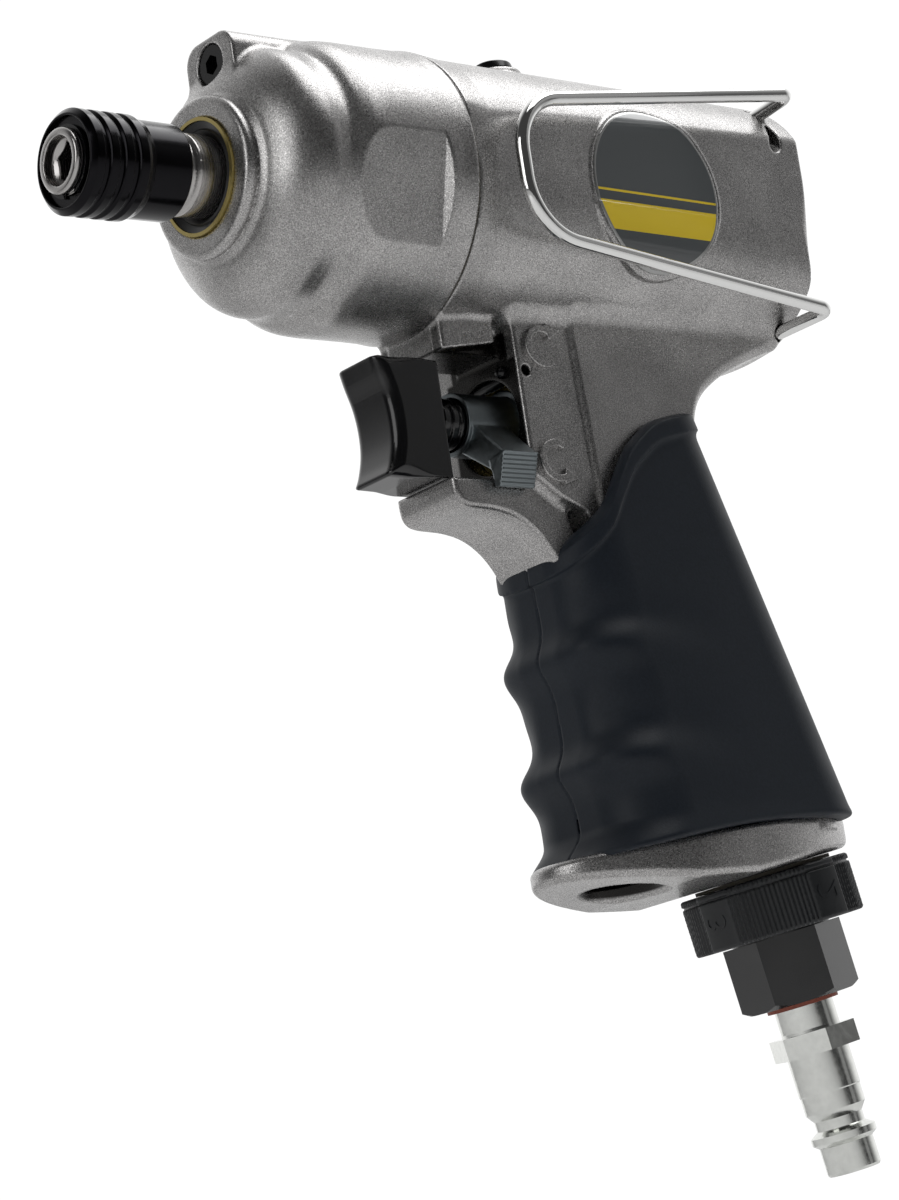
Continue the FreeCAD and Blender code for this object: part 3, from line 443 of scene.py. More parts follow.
def housing(p):
    """The rear casting: barrel, neck, finger lip, handle core and foot."""
    b, y, z = -p[:, 0], p[:, 1], p[:, 2]
    ay, r = np.abs(y), np.hypot(y, z)
    drop = -z
    d = barrel(p)
    # neck, finger lip and the far cheek
    ridge = 98.0 + 0.04 * (drop - 27)
    half = 10.4 + 0.85 * step(b, ridge - 0.7, ridge + 0.5)
    neck = rounded(polygon(b, drop, NECK), ay - half, 0.6 + 1.8 * step(b, 118, 128))
    cheek = rounded(np.abs(b - 88.5) - 3.5, np.abs(y + CHEEK_Y) - 2.4, 0.8)
    neck = np.minimum(neck, rounded(cheek, np.maximum(drop - 55.5, 20 - drop), 0.6))
    lip = rounded(polygon(b, drop, LIP), ay - 8.25, 0.9)
    lower = fillet(neck, lip, 1.8)
    under_rubber = drop - np.interp(b, EDGE_B, EDGE_DROP) - 1.8
    lower = np.maximum(lower, np.minimum(under_rubber, handle_core(p)))
    # the ear over the trigger and the web behind it
    under = -30.5 + 0.16 * (b - 70)
    ear = rounded(rounded(np.maximum(ay - 8.7, under - z), b - 82.3, 0.9), np.maximum(z + 18, 69.9 - b), 0.5)
    web = np.maximum(np.maximum(ay - 5.6, b - 88), np.maximum(-30 - z, np.maximum(z + 16, 70.1 - b)))
    d = fillet(d, lower, 2.6)
    d = fillet(d, ear, 1.2)
    d = fillet(d, web, 1.0)
    # handle under the rubber, and the foot
    top = np.interp(b, EDGE_B, EDGE_DROP) + 3.0
    core = np.maximum(handle_core(p), np.maximum(top - drop, drop - 122 + 0.0866 * (b - 90.25)))
    d = np.minimum(d, core)
    k = np.hypot((b - FOOT_B) / FOOT_LONG, y / FOOT_WIDE)
    slope = np.hypot((b - FOOT_B) / FOOT_LONG ** 2, y / FOOT_WIDE ** 2) / np.maximum(k, 1e-3)
    oval = (k - 1) / np.maximum(slope, 0.02)
    foot = rounded(oval, polygon(b, drop, FOOT), 1.3)
    d = np.minimum(d, foot)
    # boss of the oil plug
    boss = rounded(np.hypot(b - OIL_PLUG_B, y) - 5.1, z - 27.0, 0.6)
    d = fillet(d, np.maximum(boss, 20 - z), 1.8)
    # label pad: its lower rim stands proud where the barrel rolls under
    round_, over = label_frame(p)
    proud = smax(polygon(b, r - 0.9, BARREL), over + 0.02, 2.2)
    pad = rounded(round_ - 16.0, proud, 0.35)
    d = np.minimum(d, np.maximum(np.maximum(pad, 12 - y), z + 6))
    rim = np.maximum(np.abs(round_ - 15.55) - 0.3, np.abs(barrel(p)) - 0.22)
    d = fillet(d, np.maximum(rim, 12 - y), 0.15)
    # bores of the motor and the valve
    d = np.maximum(d, -np.maximum(r - MOTOR_BORE, np.maximum(b - 129.2, 60 - b)))
    well = rod(p, (0, 0, VALVE_Z), (-1, 0, 0), 8.5, 60, 112.2)
    d = carve(d, np.maximum(well, 84 - b), 0.3)
    d = np.maximum(d, -rod(p, (0, 0, VALVE_Z), (-1, 0, 0), 6.2, 110, 124.4))
    # exhaust: threaded mouth and the passage above it
    up, q1, q2 = local(p, EXHAUST).T
    turn = np.arctan2(q2, q1) / (2 * math.pi)
    thread = THREAD_DEPTH * (1 - np.abs(((up / THREAD_PITCH + turn) % 1) * 2 - 1))
    hole = np.hypot(q1, q2)
    bore = np.maximum(hole - THREAD_R - thread, up - 18)
    d = np.maximum(d, -bore * 0.8)
    d = np.maximum(d, -np.maximum(hole - 4.2, up - 60))
    mouth = np.maximum(hole - 8.0 + 0.8 * (up - 2.2), up - 4) * 0.78
    d = np.maximum(d, -mouth)
    # air inlet, retaining pin, seats of the belt hook, tie screws, top screw and oil plug
    d = np.maximum(d, -rod(p, GRIP_POINT, GRIP_DOWN, 5.0, 14, 84.1))
    d = np.maximum(d, -rod(p, GRIP_POINT, GRIP_DOWN, 8.2, 84, 125))
    d = carve(d, rod(p, (-86.8, 0, -33.9), (0, 1, 0), 1.05, -14, 14), 0.04)
    d = carve(d, capsule(p, (-147.6, 13.4, 19.0), (-146.4, 22.2, 10.4), 1.4), 0.25)
    (x1, z1), (x2, z2) = HOOK_UPPER, HOOK_LOWER
    d = carve(d, capsule(p, (x1, -16, z1), (x1, 14.5, z1 + 0.1), 1.42), 0.2)
    d = carve(d, rod(p, (x2, 0, z2), (0, 1, 0), 1.5, 7.5, 16), 0.2)
    for side in (1, -1):
        tie = (0, side * TIE_Y, TIE_Z)
        d = np.maximum(d, -rod(p, tie, (-1, 0, 0), 2.68, 146.5, 165))
        d = np.maximum(d, -rod(p, tie, (-1, 0, 0), 1.56, 60, 147))
    d = np.maximum(d, -rod(p, (0, 0, TOP_SCREW_Z), (-1, 0, 0), 2.02, 60, 87))
    return np.maximum(d, -rod(p, (-OIL_PLUG_B, 0, 22.1), (0, 0, 1), 3.35, 0, 8))


def label_film(p):
    """The printed film, lying on the barrel's own surface."""
    round_, over = label_frame(p)
    proud = smax(polygon(-p[:, 0], np.hypot(p[:, 1], p[:, 2]) - 0.9, BARREL), over + 0.02, 2.2)
    base = np.minimum(barrel(p), np.maximum(proud, p[:, 2] + 6))
    return np.maximum(np.maximum(np.abs(base - 0.1) - 0.16, round_ - LABEL_R), 14 - p[:, 1])


# ------------------------------------------------------------------ rubber grip
def bump(z, middle, high, width):
    return high * np.exp(-((z - middle) / width) ** 2)


def grip(p):
    """The moulded sleeve round the handle core."""
    b, y, z = -p[:, 0], p[:, 1], p[:, 2]
    drop = -z
    ay = np.abs(y)
    front = (89.4 + 0.048 * (drop - 64) - bump(drop, 85, 2.2, 3.6) - bump(drop, 105, 2.4, 3.4)
             - 4.6 * step(drop, 115, 122))
    rear = 125.2 + 0.291 * (drop - 38) + 1.2 * step(drop, 113, 121)
    wide = 13.2 + 0.058 * (drop - 42) + 0.5 * step(drop, 113, 121)
    wide = wide + 0.9 * step(b, 86, 122)
    corner = 10.5 + 0.03 * (drop - 60)
    middle, reach = (front + rear) / 2, (rear - front) / 2
    q1, q2 = np.abs(b - middle) - (reach - corner), ay - (wide - corner)
    d = np.hypot(np.maximum(q1, 0), np.maximum(q2, 0)) + np.minimum(np.maximum(q1, q2), 0) - corner
    # the finger hollows run round the front half of the sides
    side = step(ay, 6, 12) * step(130 - b, 10, 40)
    turn = (drop - 85 - 0.1 * (b - 88)) * 2 * math.pi / 20
    wave = 0.62 * (np.cos(turn) - 0.35 * np.sin(2 * turn))
    d = d - wave * side * step(drop, 72, 82) * (1 - step(drop, 108, 113))
    d = d * 0.93
    # rolled upper edge with a shallow groove below it, and the moulding seam
    edge = np.interp(b, EDGE_B, EDGE_DROP) - drop
    top = edge * 0.72
    roll = np.abs(top + 1.5) - 1.1
    bead = np.maximum(d - 0.7, roll)
    d = smax(d, top, 1.6)
    d = -smax(-d, -smax(bead, top, 1.5), 1.6)
    seam = np.maximum(np.abs(y) - 0.2, -0.2 - d)
    d = np.maximum(d, -np.where(b < 110, seam, 1.0))
    lower = 120.7 - 0.105 * (b - 90) + 0.55 * np.cos((b - 88) * 2 * math.pi / 60)
    d = smax(d, (drop - lower) * 0.95, 1.0)
    return np.maximum(d, -0.05 - handle_core(p))


# ------------------------------------------------------------------ trigger and lever
TRIGGER = [(57.0, 52.6), (57.2, 53.2), (62.5, 53.4), (70.3, 53.4), (70.3, 32.0), (58.4, 31.2)] + spline([
    (56.9, 31.6), (57.6, 34.5), (58.8, 38.5), (59.3, 42.5), (59.1, 46.5), (58.1, 50.2), (57.0, 52.6)], 5)


def trigger(p):
    """The trigger with its ribbed neck, bored for the stem."""
    b, y, z = -p[:, 0], p[:, 1], p[:, 2]
    edge = 0.35 + 1.85 * (1 - step(b, 60.5, 66.5))
    d = rounded(polygon(b, -z, TRIGGER), np.abs(y) - 6.2, edge)
    r = np.hypot(y, z - VALVE_Z)
    ribs = 4.6 - 0.45 * step(np.cos((b - 71.4) * 2 * math.pi / 1.9), 0.55, 0.9)
    neck = np.maximum(r - ribs, np.abs(b - 74.5) - 5.5)
    d = np.minimum(d, neck)
    return np.maximum(d, -np.maximum(r - 2.45, 70.5 - b))


def lever(p):
    """The reverse lever: hub and flange on the valve, arm and ridged thumb pad."""
    b, y, z = -p[:, 0], p[:, 1], p[:, 2]
    drop = -z
    r = np.hypot(y, z - VALVE_Z)
    hub = np.maximum(np.abs(b - 82.2) - 6.0, r - 5.7)
    flange = np.maximum(np.abs(b - 89.3) - 1.1, r - 6.9)
    arm = rounded(polygon(y, drop, [(0.8, 46.9), (5.3, 42.9), (12.4, 50.0), (8.6, 52.4)]),
                  np.abs(b - 80.9) - 3.9, 0.35)
    ridges = 0.22 * (1 - np.abs(((drop - 50.4) / 0.74 % 1) * 2 - 1))
    pad = polygon(y - ridges * step(y, 9.6, 10.2), drop,
                  [(8.4, 50.6), (12.5, 49.9), (10.2, 55.8), (8.7, 55.4)])
    pad = rounded(pad, np.abs(b - 80.9) - 3.9, 0.25)
    d = np.minimum(np.minimum(hub, flange), fillet(arm, pad, 0.4))
    d = np.minimum(d, arm)
    d = np.maximum(d, -np.maximum(r - 4.85, b - 86))
    return np.maximum(d, -(r - 2.6))


# ------------------------------------------------------------------ materials
def material(name, color, metallic=0.0, roughness=0.5, **sockets):
    """A plain material; further keywords are sockets of the shader, spaces written as underscores."""
    mat = bpy.data.materials.new(name)
    mat.use_nodes = True
    shader = mat.node_tree.nodes["Principled BSDF"]
    shader.inputs["Base Color"].default_value = (*color, 1)
    shader.inputs["Metallic"].default_value = metallic
    shader.inputs["Roughness"].default_value = roughness
    for key, value in sockets.items():
        shader.inputs[key.replace("_", " ")].default_value = value
    return mat


class Graph:
    """Short names for the few nodes that the materials use."""

    def __init__(self, mat):
        self.tree = mat.node_tree
        self.shader = self.tree.nodes["Principled BSDF"]
        self.coords = self.tree.nodes.new("ShaderNodeTexCoord").outputs["Object"]

    def add(self, kind, **settings):
        node = self.tree.nodes.new(kind)
        for key, value in settings.items():
            setattr(node, key, value)
        return node

    def link(self, a, b):
        self.tree.links.new(a, b)

    def noise(self, scale, detail=2.0, rough=0.5):
        n = self.add("ShaderNodeTexNoise")
        n.inputs["Scale"].default_value = scale
        n.inputs["Detail"].default_value = detail
        n.inputs["Roughness"].default_value = rough
        self.link(self.coords, n.inputs["Vector"])
        return n.outputs["Fac"]

    def remap(self, value, lo, hi, out_lo, out_hi):
        n = self.add("ShaderNodeMapRange")
        for key, number in zip(("From Min", "From Max", "To Min", "To Max"), (lo, hi, out_lo, out_hi)):
            n.inputs[key].default_value = number
        self.link(value, n.inputs["Value"])
        return n.outputs["Result"]

    def math(self, how, a, b=None):
        n = self.add("ShaderNodeMath", operation=how)
        for i, value in enumerate((a, b)):
            if value is None:
                continue
            if isinstance(value, (int, float)):
                n.inputs[i].default_value = value
            else:
                self.link(value, n.inputs[i])
        return n.outputs[0]

    def ramp(self, value, stops):
        n = self.add("ShaderNodeValToRGB")
        elements = n.color_ramp.elements
        while len(elements) < len(stops):
            elements.new(0.5)
        for element, (where, color) in zip(elements, stops):
            element.position = where
            element.color = (*color, 1)
        self.link(value, n.inputs["Fac"])
        return n.outputs["Color"]

    def mix(self, fac, a, b):
        n = self.add("ShaderNodeMix", data_type="RGBA")
        for socket, value in ((n.inputs["Factor"], fac), (n.inputs["A"], a), (n.inputs["B"], b)):
            if isinstance(value, tuple):
                socket.default_value = (*value, 1)
            elif isinstance(value, (int, float)):
                socket.default_value = value
            else:
                self.link(value, socket)
        return n.outputs["Result"]

    def bump(self, height, strength, distance):
        n = self.add("ShaderNodeBump")
        n.inputs["Strength"].default_value = strength
        n.inputs["Distance"].default_value = distance
        self.link(height, n.inputs["Height"])
        self.link(n.outputs["Normal"], self.shader.inputs["Normal"])

    def set(self, name, value):
        self.link(value, self.shader.inputs[name])


# hollows of the rear casting that are given painted shade, in metres: x, z and y from and to
TRIGGER_BAY = ((-0.126, -0.0695), (-0.0533, -0.0312), (-0.0095, 0.00985))
UNDER_EAR = ((-0.0866, -0.0698), (-0.034, -0.0262), (-0.0080, 0.0080))
BORE_X, BORE_Z = -0.0996, (-0.1255, -0.08)
SHADE_IN_HOLLOWS = (0.02, 0.019, 0.018)


def cast_paint():
    """Sparkling silver paint, with painted shade darkening the hollows."""
    mat = material("silver_paint", (0.4, 0.4, 0.4), 0.9, 0.4)
    g = Graph(mat)
    grain = g.noise(5600, 2.0, 0.8)
    cloud = g.noise(90, 3.0, 0.6)
    tone = g.math("ADD", g.math("MULTIPLY", grain, 0.85), g.math("MULTIPLY", cloud, 0.15))
    paint = g.ramp(tone, [(0.34, (0.14, 0.138, 0.137)), (0.5, (0.36, 0.353, 0.35)),
                          (0.66, (0.74, 0.725, 0.715))])
    split = g.add("ShaderNodeSeparateXYZ")
    g.link(g.coords, split.inputs[0])
    x, y, z = (split.outputs[k] for k in "XYZ")

    def between(value, lo, hi):
        middle, reach = (lo + hi) / 2, (hi - lo) / 2
        off = g.math("ABSOLUTE", g.math("SUBTRACT", value, middle))
        return g.remap(off, reach - 0.0003, reach + 0.0003, 1, 0)

    def box(xs, zs, ys):
        return g.math("MULTIPLY", g.math("MULTIPLY", between(x, *xs), between(z, *zs)), between(y, *ys))

    dx = g.math("ADD", x, -BORE_X)
    out = g.math("SQRT", g.math("ADD", g.math("MULTIPLY", dx, dx), g.math("MULTIPLY", y, y)))
    bore = g.math("MULTIPLY", g.remap(out, 0.0079, 0.0082, 1, 0), between(z, *BORE_Z))
    # painted shade: the trigger bay, the space under the ear and the exhaust bore get a near-black base
    # colour
    painted_shade = g.math("MAXIMUM", g.math("MAXIMUM", box(*TRIGGER_BAY), bore), box(*UNDER_EAR))
    g.set("Base Color", g.mix(painted_shade, paint, SHADE_IN_HOLLOWS))
    g.set("Roughness", g.remap(g.noise(2600, 1.0), 0.3, 0.7, 0.22, 0.34))
    g.bump(g.noise(5000, 2.0, 0.7), 0.24, 0.00014)
    return mat


def fine_metal(name, color, roughness, spread=0.06, scale=900, bump=0.05, **sockets):
    """Metal with a fine, slightly uneven surface."""
    mat = material(name, color, 1.0, roughness, **sockets)
    g = Graph(mat)
    n = g.noise(scale, 3.0, 0.6)
    g.set("Roughness", g.remap(n, 0.3, 0.7, roughness - spread, roughness + spread))
    g.set("Base Color", g.ramp(n, [(0.3, tuple(c * 0.86 for c in color)), (0.7, color)]))
    g.bump(n, bump, 0.00008)
    return mat


def turned_metal(name, color, roughness, along, pitch=0.00035, bump=0.1):
    """Steel with fine turning marks round an axis."""
    mat = material(name, color, 1.0, roughness)
    g = Graph(mat)
    dot = g.add("ShaderNodeVectorMath", operation="DOT_PRODUCT")
    dot.inputs[1].default_value = along
    g.link(g.coords, dot.inputs[0])
    n = g.add("ShaderNodeTexNoise", noise_dimensions="1D")
    n.inputs["Scale"].default_value = 1 / pitch
    n.inputs["Detail"].default_value = 3
    g.link(dot.outputs["Value"], n.inputs["W"])
    fac = n.outputs["Fac"]
    g.set("Roughness", g.remap(fac, 0.3, 0.7, roughness - 0.05, roughness + 0.07))
    g.set("Base Color", g.ramp(fac, [(0.3, tuple(c * 0.8 for c in color)), (0.7, color)]))
    g.bump(fac, bump, 0.00004)
    return mat


def matt(name, color, roughness, scale, bump, depth, **sockets):
    """Rubber, plastic or paper with a fine grain."""
    mat = material(name, color, 0.0, roughness, **sockets)
    g = Graph(mat)
    n = g.noise(scale, 2.0, 0.6)
    g.set("Roughness", g.remap(g.noise(120, 2.0), 0.3, 0.7, roughness - 0.05, roughness + 0.05))
    g.set("Base Color", g.ramp(n, [(0.3, tuple(c * 0.8 for c in color)), (0.7, color)]))
    g.bump(n, bump, depth)
    return mat


FILM, YELLOW, BARE_RIM = (0.052, 0.06, 0.064), (0.83, 0.60, 0.0), (0.34, 0.34, 0.335)
BAND_Z, BAND_HALF = -0.0080, 0.0027         # the band across the film
LINE_UP, LINE_HALF = 0.0046, 0.00022        # the thin line above the band
FIELD_R = 0.01465                           # the printed field, inside a bare rim


def label_print():
    """A plain dark film with one yellow band and one thin line."""
    mat = material("label_film", (0.05, 0.055, 0.06), 0.0, 0.3, Coat_Weight=0.9, Coat_Roughness=0.06)
    g = Graph(mat)
    split = g.add("ShaderNodeSeparateXYZ")
    g.link(g.coords, split.inputs[0])
    x, z = split.outputs["X"], split.outputs["Z"]
    across = g.math("ADD", z, -BAND_Z)
    band = g.math("LESS_THAN", g.math("ABSOLUTE", across), BAND_HALF)
    line = g.math("LESS_THAN", g.math("ABSOLUTE", g.math("SUBTRACT", across, LINE_UP)), LINE_HALF)
    dx = g.math("ADD", x, LABEL_B * MM)
    dz = g.math("ADD", z, -LABEL_Z * MM)
    r2 = g.math("ADD", g.math("MULTIPLY", dx, dx), g.math("MULTIPLY", dz, dz))
    field = g.math("LESS_THAN", r2, FIELD_R ** 2)
    printed = g.mix(g.math("MAXIMUM", band, line), FILM, YELLOW)
    g.set("Base Color", g.mix(field, BARE_RIM, printed))
    g.set("Metallic", g.math("MULTIPLY", g.math("SUBTRACT", 1.0, field), 0.85))
    return mat


AXIS_X = (1.0, 0.0, 0.0)
LOOKS = {
    "silver_paint": cast_paint(),
    "black_oxide": fine_metal("black_oxide", (0.005, 0.0046, 0.0062), 0.2, 0.04, 500, 0.03, Coat_Weight=0.2,
                              Coat_Roughness=0.16),
    "machined_steel": turned_metal("machined_steel", (0.50, 0.485, 0.475), 0.24, AXIS_X),
    "hard_steel": fine_metal("hard_steel", (0.42, 0.42, 0.43), 0.3),
    "bronze": fine_metal("bronze", (0.52, 0.42, 0.16), 0.34),
    "black_rubber": matt("black_rubber", (0.0125, 0.0170, 0.0245), 0.5, 2200, 0.25, 0.00008,
                                Specular_IOR_Level=0.25),
    "seal_rubber": matt("seal_rubber", (0.005, 0.005, 0.005), 0.38, 1500, 0.15, 0.00005),
    "black_plastic": matt("black_plastic", (0.002, 0.002, 0.0028), 0.2, 700, 0.03, 0.00003,
                                 Coat_Weight=0.3, Coat_Roughness=0.08),
    "ring_plastic": matt("ring_plastic", (0.009, 0.0105, 0.0125), 0.34, 1700, 0.22, 0.00006),
    "zinc_casting": fine_metal("zinc_casting", (0.21, 0.235, 0.245), 0.36, 0.07, 1100, 0.25),
    "zinc_plate": fine_metal("zinc_plate", (0.76, 0.77, 0.74), 0.14, 0.04, 700, 0.05),
    "chrome_wire": material("chrome_wire", (0.80, 0.80, 0.79), 1.0, 0.07),
    "label_film": label_print(),
    "fibre": matt("fibre", (0.30, 0.075, 0.045), 0.6, 1500, 0.3, 0.0001),
    "gasket_paper": matt("gasket_paper", (0.10, 0.09, 0.07), 0.8, 1500, 0.3, 0.0001),
    "black_steel": matt("black_steel", (0.003, 0.003, 0.0036), 0.17, 900, 0.05, 0.00003,
                               Specular_IOR_Level=0.4),
}


def dress(obj, look, body, hides=()):
    """Gives a piece its look, its body and the CAD nodes that it stands in for."""
    obj.data.materials.clear()
    obj.data.materials.append(LOOKS[look])
    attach(obj, body)
    if hides:
        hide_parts(*hides)
    return obj


def crisp(obj, angle=32):
    """Keeps edges sharper than the angle, in degrees, and smooths the rest."""
    obj.data.set_sharp_from_angle(angle=math.radians(angle))
    weighted = obj.modifiers.new("weighted", "WEIGHTED_NORMAL")
    weighted.keep_sharp = True
    return obj


# ------------------------------------------------------------------ castings and grip
dress(surface("case_look", hammer_case, (-70.5, -28, -28), (-27.8, 28, 28)), "silver_paint", "housing",
      hides=["hammer_case"])
dress(surface("housing_look", housing, (-158.5, -27.5, -128.5), (-67.5, 27.5, 29.5)), "silver_paint",
      "housing", hides=["motor_housing"])
dress(surface("grip_look", grip, (-154.5, -19.5, -123), (-84, 19.5, -35)), "black_rubber", "housing",
      hides=["rubber_grip"])
dress(surface("label_look", label_film, (-130, 14, -19), (-96, 26, 15), LABEL_CELL), "label_film", "housing",
      hides=["label_plate"])
dress(surface("trigger_look", trigger, (-81, -7, -55), (-55.5, 7, -30), TRIGGER_CELL), "black_plastic",
      "trigger", hides=["trigger_button"])
dress(surface("lever_look", lever, (-91, -8, -57), (-76.4, 14, -34), LEVER_CELL), "zinc_casting",
      "reverse_lever", hides=["reverse_lever"])

# ------------------------------------------------------------------ chuck
RIB_COUNT, RIB_FIRST, RIB_PITCH, RIB_R, VALLEY_R = 4, 2.75, 2.93, 9.1, 8.45
RIBS = []
for k in range(RIB_COUNT):
    crest = RIB_FIRST + k * RIB_PITCH
    RIBS += [(crest - 0.55, RIB_R, 0.3), (crest + 1.0, RIB_R, 0.3)]
    if k < RIB_COUNT - 1:
        RIBS += [(crest + 1.3, VALLEY_R, 0.2), (crest + 2.0, VALLEY_R, 0.2)]
SLEEVE = outline([(1.3, 7.75, 0.1), (1.3, 8.15, 0.25)] + RIBS + [
    (13.3, 8.75, 0.3), (14.2, 8.45, 0.5), (21.9, 8.4, 0.45), (21.9, 6.57, 0.1), (16.6, 6.57), (16.2, 7.3),
    (13.4, 7.3), (13.0, 5.77), (9.0, 5.77), (9.0, 7.75)], 4)
dress(crisp(lathe("sleeve_look", SLEEVE, DRIVE, 128)), "black_oxide", "chuck_sleeve", hides=["chuck_sleeve"])

# ------------------------------------------------------------------ CAD nodes that stay visible
for part in frame["record"]["subparts"]:
    node = nodes[part["node"]]
    node.data.materials.clear()
    node.data.materials.append(LOOKS[part["material_slot"]])

# ------------------------------------------------------------------ belt hook
WIRE_R = 1.3
(X1, Z1), (X2, Z2) = HOOK_UPPER, HOOK_LOWER
HOOK = [(X1, 14.0, Z1), (X1, 25.8, 19.2), (-77.6, 28.7, 9.0), (-77.6, 28.7, -15.1), (X2, 25.2, Z2),
        (X2, 11.4, Z2)]
BENDS = [2.6, 11.0, 11.0, 2.6]


def tube(name, points, bends, radius, around=32, turn_steps=14):
    """A round wire along straight runs and tangent arcs, or through every point when bends is empty."""
    path = [np.array(q, float) for q in (points if not bends else points[:1])]
    for before, corner, after, bend in zip(points, points[1:], points[2:], bends):
        before, corner, after = (np.array(q, float) for q in (before, corner, after))
        into = (before - corner) / np.linalg.norm(before - corner)
        out = (after - corner) / np.linalg.norm(after - corner)
        half = math.acos(float(into @ out)) / 2
        reach = bend / math.tan(half)
        middle = (into + out) / np.linalg.norm(into + out)
        centre = corner + middle * bend / math.sin(half)
        a, b = corner + into * reach - centre, corner + out * reach - centre
        sweep = math.acos(float(a @ b) / bend ** 2)
        for k in range(turn_steps + 1):
            t = k / turn_steps
            path.append(centre + (math.sin((1 - t) * sweep) * a + math.sin(t * sweep) * b) / math.sin(sweep))
    if bends:
        path.append(np.array(points[-1], float))
    path = np.array(path)
    tangent = np.gradient(path, axis=0)
    tangent /= np.linalg.norm(tangent, axis=1)[:, None]
    normal = np.cross(tangent[0], (0, 0, 1.0))
    rings = []
    angle = np.linspace(0, 2 * math.pi, around, endpoint=False)
    for q, t in zip(path, tangent):
        normal = normal - t * (normal @ t)
        normal /= np.linalg.norm(normal)
        side = np.cross(t, normal)
        rings.append(q + radius * (np.cos(angle)[:, None] * normal + np.sin(angle)[:, None] * side))
    verts = np.concatenate(rings + [path[:1], path[-1:]])
    faces = []
    n = len(path)
    for i in range(n - 1):
        for j in range(around):
            k = (j + 1) % around
            faces.append((i * around + j, i * around + k, (i + 1) * around + k, (i + 1) * around + j))
    first, last = n * around, n * around + 1
    for j in range(around):
        k = (j + 1) % around
        faces.append((first, k, j))
        faces.append((last, (n - 1) * around + j, (n - 1) * around + k))
    return new_object(name, verts, faces)


dress(crisp(tube("hook_look", HOOK, BENDS, WIRE_R)), "chrome_wire", "housing", hides=["wire_hook"])

# ------------------------------------------------------------------ anvil
ANVIL = outline([(0, -8), (0, 5.7, 0.6), (1.4, 5.7), (1.4, 5.2), (2.1, 5.2), (2.1, 5.7), (13.4, 5.7),
                 (13.4, 6.5), (23.5, 6.5), (24.2, 7.2), (44.6, 7.2), (44.6, 6.6), (60.5, 6.6), (60.5, 3.2),
                 (62, 3.2), (62, -8)], 4)
HEX_FLATS, HEX_DEPTH = 6.35, 26


def anvil(p):
    """The anvil with its two jaws, the hex socket and the hole of the locking ball."""
    b, y, z = -p[:, 0], p[:, 1], p[:, 2]
    r = np.hypot(y, z)
    d = polygon(b, r, ANVIL)
    jaw = np.maximum(np.maximum(r - 10.4, np.abs(y) - 3.6), np.abs(b - 54.95) - 5.55)
    d = np.minimum(d, jaw)
    u, v = 0.5 * y, 0.8660254 * z
    hexagon = np.maximum(np.abs(y), np.maximum(np.abs(u + v), np.abs(u - v)))
    d = np.maximum(d, -np.maximum(hexagon - HEX_FLATS / 2, b - HEX_DEPTH))
    d = carve(d, np.maximum(r - 4.25, b - 2.6 + 0.7 * (r - 3.2)), 0.12)
    return np.maximum(d, -rod(p, (-11.5, 0, 0), (0, 0, 1), 1.66, 1.5, 9))


dress(surface("anvil_look", anvil, (-62.6, -10.8, -10.8), (0.5, 10.8, 10.8), ANVIL_CELL),
      "machined_steel", "anvil", hides=["anvil"])

# ------------------------------------------------------------------ raised arrows on the cheek
for label, bx, z0, head in (("arrow_forward_look", 90.9, -29.4, 1), ("arrow_reverse_look", 90.4, -50.6, -1)):
    low, high = (-bx - 5.5, 9.4, z0 - 5.5), (-bx + 5.5, 11.4, z0 + 5.5)
    dress(surface(label, lambda q: arrow(q, bx, z0, head), low, high, ARROW_CELL), "silver_paint", "housing")

# ------------------------------------------------------------------ oil plug and lever stop
PLUG = outline([(22.1, 0.01), (28.6, 0.01), (28.9, 1.2), (28.9, 3.4, 0.5), (27.4, 3.9, 0.2), (27.0, 3.25),
                (22.1, 3.25)], 4)
dress(crisp(lathe("oil_plug_look", PLUG, ((-OIL_PLUG_B, 0, 0), (0, 0, 1), (0, 1, 0)), 48)),
      "black_steel", "housing", hides=["oil_plug"])
PIN = [(83.6, 0.01), (83.7, 0.6), (84.2, 1.0), (84.8, 1.15), (92.4, 1.15), (92.4, 0.01)]
dress(crisp(lathe("stop_pin_look", PIN, (STOP_PIN, (-1, 0, 0), (0, 1, 0)), 24)), "black_steel",
      "housing", hides=["lever_stop_pin"])

# ------------------------------------------------------------------ regulator ring
PADS = (-88, 2, 85, 173)            # degrees round the grip axis, from the tool's left


def regulator(p):
    """The knurled ring with four smooth pads and a groove near its upper edge."""
    q = local(p, GRIP)
    s, r = q[:, 0], np.hypot(q[:, 1], q[:, 2])
    angle = np.degrees(np.arctan2(q[:, 2], q[:, 1]))
    tooth = TOOTH_DEPTH * np.abs(((angle / 360 * TEETH) % 1) * 2 - 1)
    for pad in PADS:
        off = np.abs((angle - pad + 180) % 360 - 180)
        tooth = tooth * step(off, 11.5, 12.5)
    body = rounded(r - RING_R + tooth, np.abs(s - RING_S) - RING_HALF, 0.6)
    notch = np.maximum(np.abs(s - 99.1) - 0.22, 15.3 - r)
    return np.maximum(np.maximum(body, -notch), 9.25 - r)


dress(surface("ring_look", regulator, (-156.5, -17, -139), (-115.5, 17, -118), RING_CELL),
      "ring_plastic", "regulator_ring", hides=["regulator_ring"])


DIGIT_SIZE, DIGIT_PROUD = 6.6, 0.16


